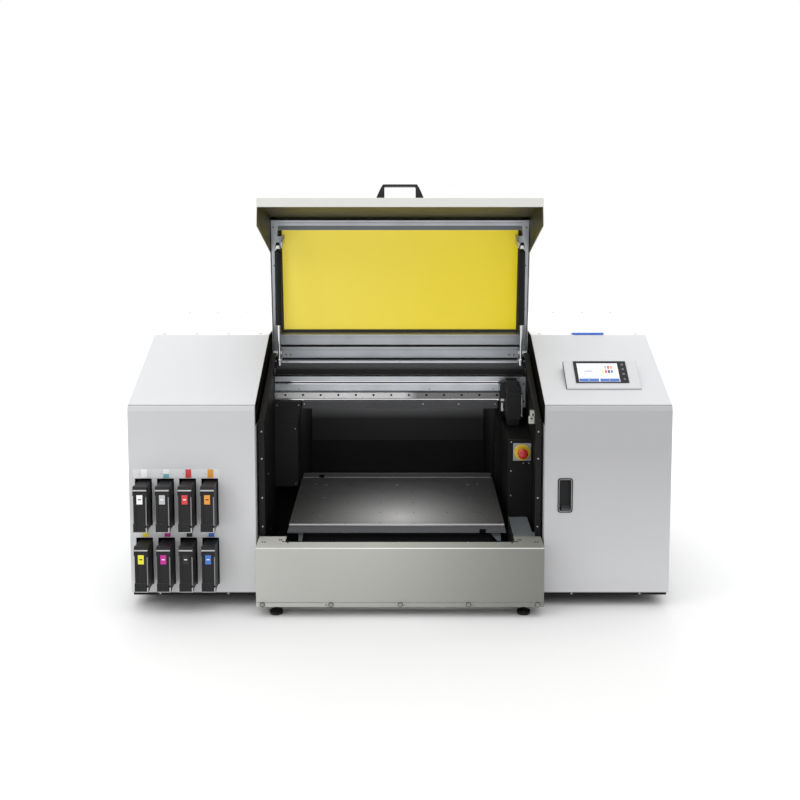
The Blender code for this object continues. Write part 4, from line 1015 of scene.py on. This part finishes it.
def rear_details():
    """Screws and slots of the rear cover."""
    x0, x1, _, back, _, _ = local_box("rear_cover")
    face = back - 0.0025
    screws = Shape()
    for x in (x0 + 0.015, x0 * 0.33, x1 * 0.33, x1 - 0.015):
        for z in (0.08, 0.745):
            screws.screw((x, face, z), BACKWARD, 0.004, 0.0022)
    for x in (-0.288, 0.0, 0.288):
        for z in (0.132, 0.408):
            screws.disc((x, back, z), BACKWARD, 0.004, 0.0001)
    screws.made("rear_screws", "base", "steel", ZINC)
    vents = Shape()
    for column in (-0.26, 0.0, 0.26):
        for i in range(12):
            z = 0.48 + 0.015 * i
            vents.prism(rounded(column - 0.08, column + 0.08, z, z + VENT_HEIGHT, VENT_HEIGHT / 2),
                        "y", face - 0.0009, face + 0.0003)
    vents.made("rear_vents", "base", "black_metal", HOLE)


# Stage

def area_light(name, location, target, size, energy):
    data = bpy.data.lights.new(name, "AREA")
    data.shape = "RECTANGLE"
    data.size, data.size_y = size
    data.energy = energy
    light = bpy.data.objects.new(name, data)
    light.location = location
    light.rotation_euler = (Vector(target) - Vector(location)).to_track_quat("-Z", "Y").to_euler()
    bpy.context.collection.objects.link(light)


def pale_floor():
    half = 30
    floor = Shape()
    floor.bm.faces.new([floor.vert((x * half, y * half, 0)) for x, y in ((-1, -1), (1, -1), (1, 1), (-1, 1))])
    mesh = bpy.data.meshes.new("floor")
    floor.bm.to_mesh(mesh)
    floor.bm.free()
    made = Nodes("floor_pale")
    clouds = made.remap(made.noise(0.7, 2.0), 0.3, 0.7, 0.0, 1.0)
    tone = made.mixed(clouds, (0.72, 0.72, 0.72), (0.75, 0.75, 0.75))
    made.link(tone, made.shader.inputs["Base Color"])
    made.shader.inputs["Roughness"].default_value = 0.75
    mesh.materials.append(made.material)
    obj = bpy.data.objects.new("floor", mesh)
    bpy.context.collection.objects.link(obj)


def studio_world():
    """Light that grows from the horizon to straight overhead, with a plain white background."""
    world = bpy.data.worlds.new("studio")
    bpy.context.scene.world = world
    world.use_nodes = True
    tree = world.node_tree
    background = tree.nodes["Background"]
    coords = tree.nodes.new("ShaderNodeTexCoord")
    split = tree.nodes.new("ShaderNodeSeparateXYZ")
    ramp = tree.nodes.new("ShaderNodeMapRange")
    tree.links.new(coords.outputs["Generated"], split.inputs["Vector"])
    tree.links.new(split.outputs["Z"], ramp.inputs["Value"])
    for name, value in (("From Min", 0.0), ("From Max", 1.0), ("To Min", 0.06), ("To Max", 2.08)):
        ramp.inputs[name].default_value = value
    ray = tree.nodes.new("ShaderNodeLightPath")
    seen = tree.nodes.new("ShaderNodeMix")
    tree.links.new(ray.outputs["Is Camera Ray"], seen.inputs["Factor"])
    tree.links.new(ramp.outputs["Result"], seen.inputs["A"])
    seen.inputs["B"].default_value = 1.0
    tree.links.new(seen.outputs["Result"], background.inputs["Strength"])
    background.inputs["Color"].default_value = (1.0, 1.0, 1.0, 1.0)


def studio_lights():
    area_light("key", (-3.2, -2.4, 2.6), (-0.1, -0.4, 0.4), (1.6, 1.6), 20)
    area_light("top_back", (0.0, 4.2, 2.3), (0.0, 0.2, 0.75), (4.0, 1.2), 75)
    area_light("left_low", (-1.9, -1.9, 0.5), (-0.4, -0.55, 0.25), (0.8, 0.6), 3.6)
    area_light("tunnel_fill", (-0.01, FRONT + 0.6, 0.48), (-0.01, FRONT + 1.1, 0.45), (0.55, 0.03), 1.1)
    spot = bpy.data.lights.new("table_spot", "SPOT")
    spot.energy = 110
    spot.spot_size = math.radians(17)
    spot.spot_blend = 1.0
    spot.shadow_soft_size = 0.15
    lamp = bpy.data.objects.new("table_spot", spot)
    lamp.location = (0.0, FRONT - 1.6, 2.0)
    aim = Vector((-0.02, FRONT + 0.13, 0.246)) - lamp.location
    lamp.rotation_euler = aim.to_track_quat("-Z", "Y").to_euler()
    bpy.context.collection.objects.link(lamp)
    bpy.context.scene.view_settings.view_transform = "Standard"


def camera():
    """View from straight ahead, a little higher than the open lid and tilted down."""
    data = bpy.data.cameras.new("camera")
    data.sensor_width = 36.0
    data.lens = 51.84
    data.shift_y = -0.18
    cam = bpy.data.objects.new("camera", data)
    cam.location = (0.0, FRONT - 3.384, 1.424)
    cam.rotation_euler = (math.radians(90.0 - 5.91), 0.0, 0.0)
    bpy.context.collection.objects.link(cam)
    bpy.context.scene.camera = cam


for make in (
        dress_nodes, cabinet_screws, roof_seams, bay_edge_liners, plinth_screws, cabinet_vents, inlet_pins,
        panel_tags, cartridge_details, door_details, display_page, panel_icons, touch_panel_gap_shadow,
        tray_details, bay_screws, interlock, stop_button_rings, table_marks, table_edges, rail_details,
        gantry_details, carriage_details, window_gasket, lid_frame_marks, lid_painted_shade, lid_fittings,
        spring_details, rear_details, pale_floor, studio_world, studio_lights, camera):
    make()
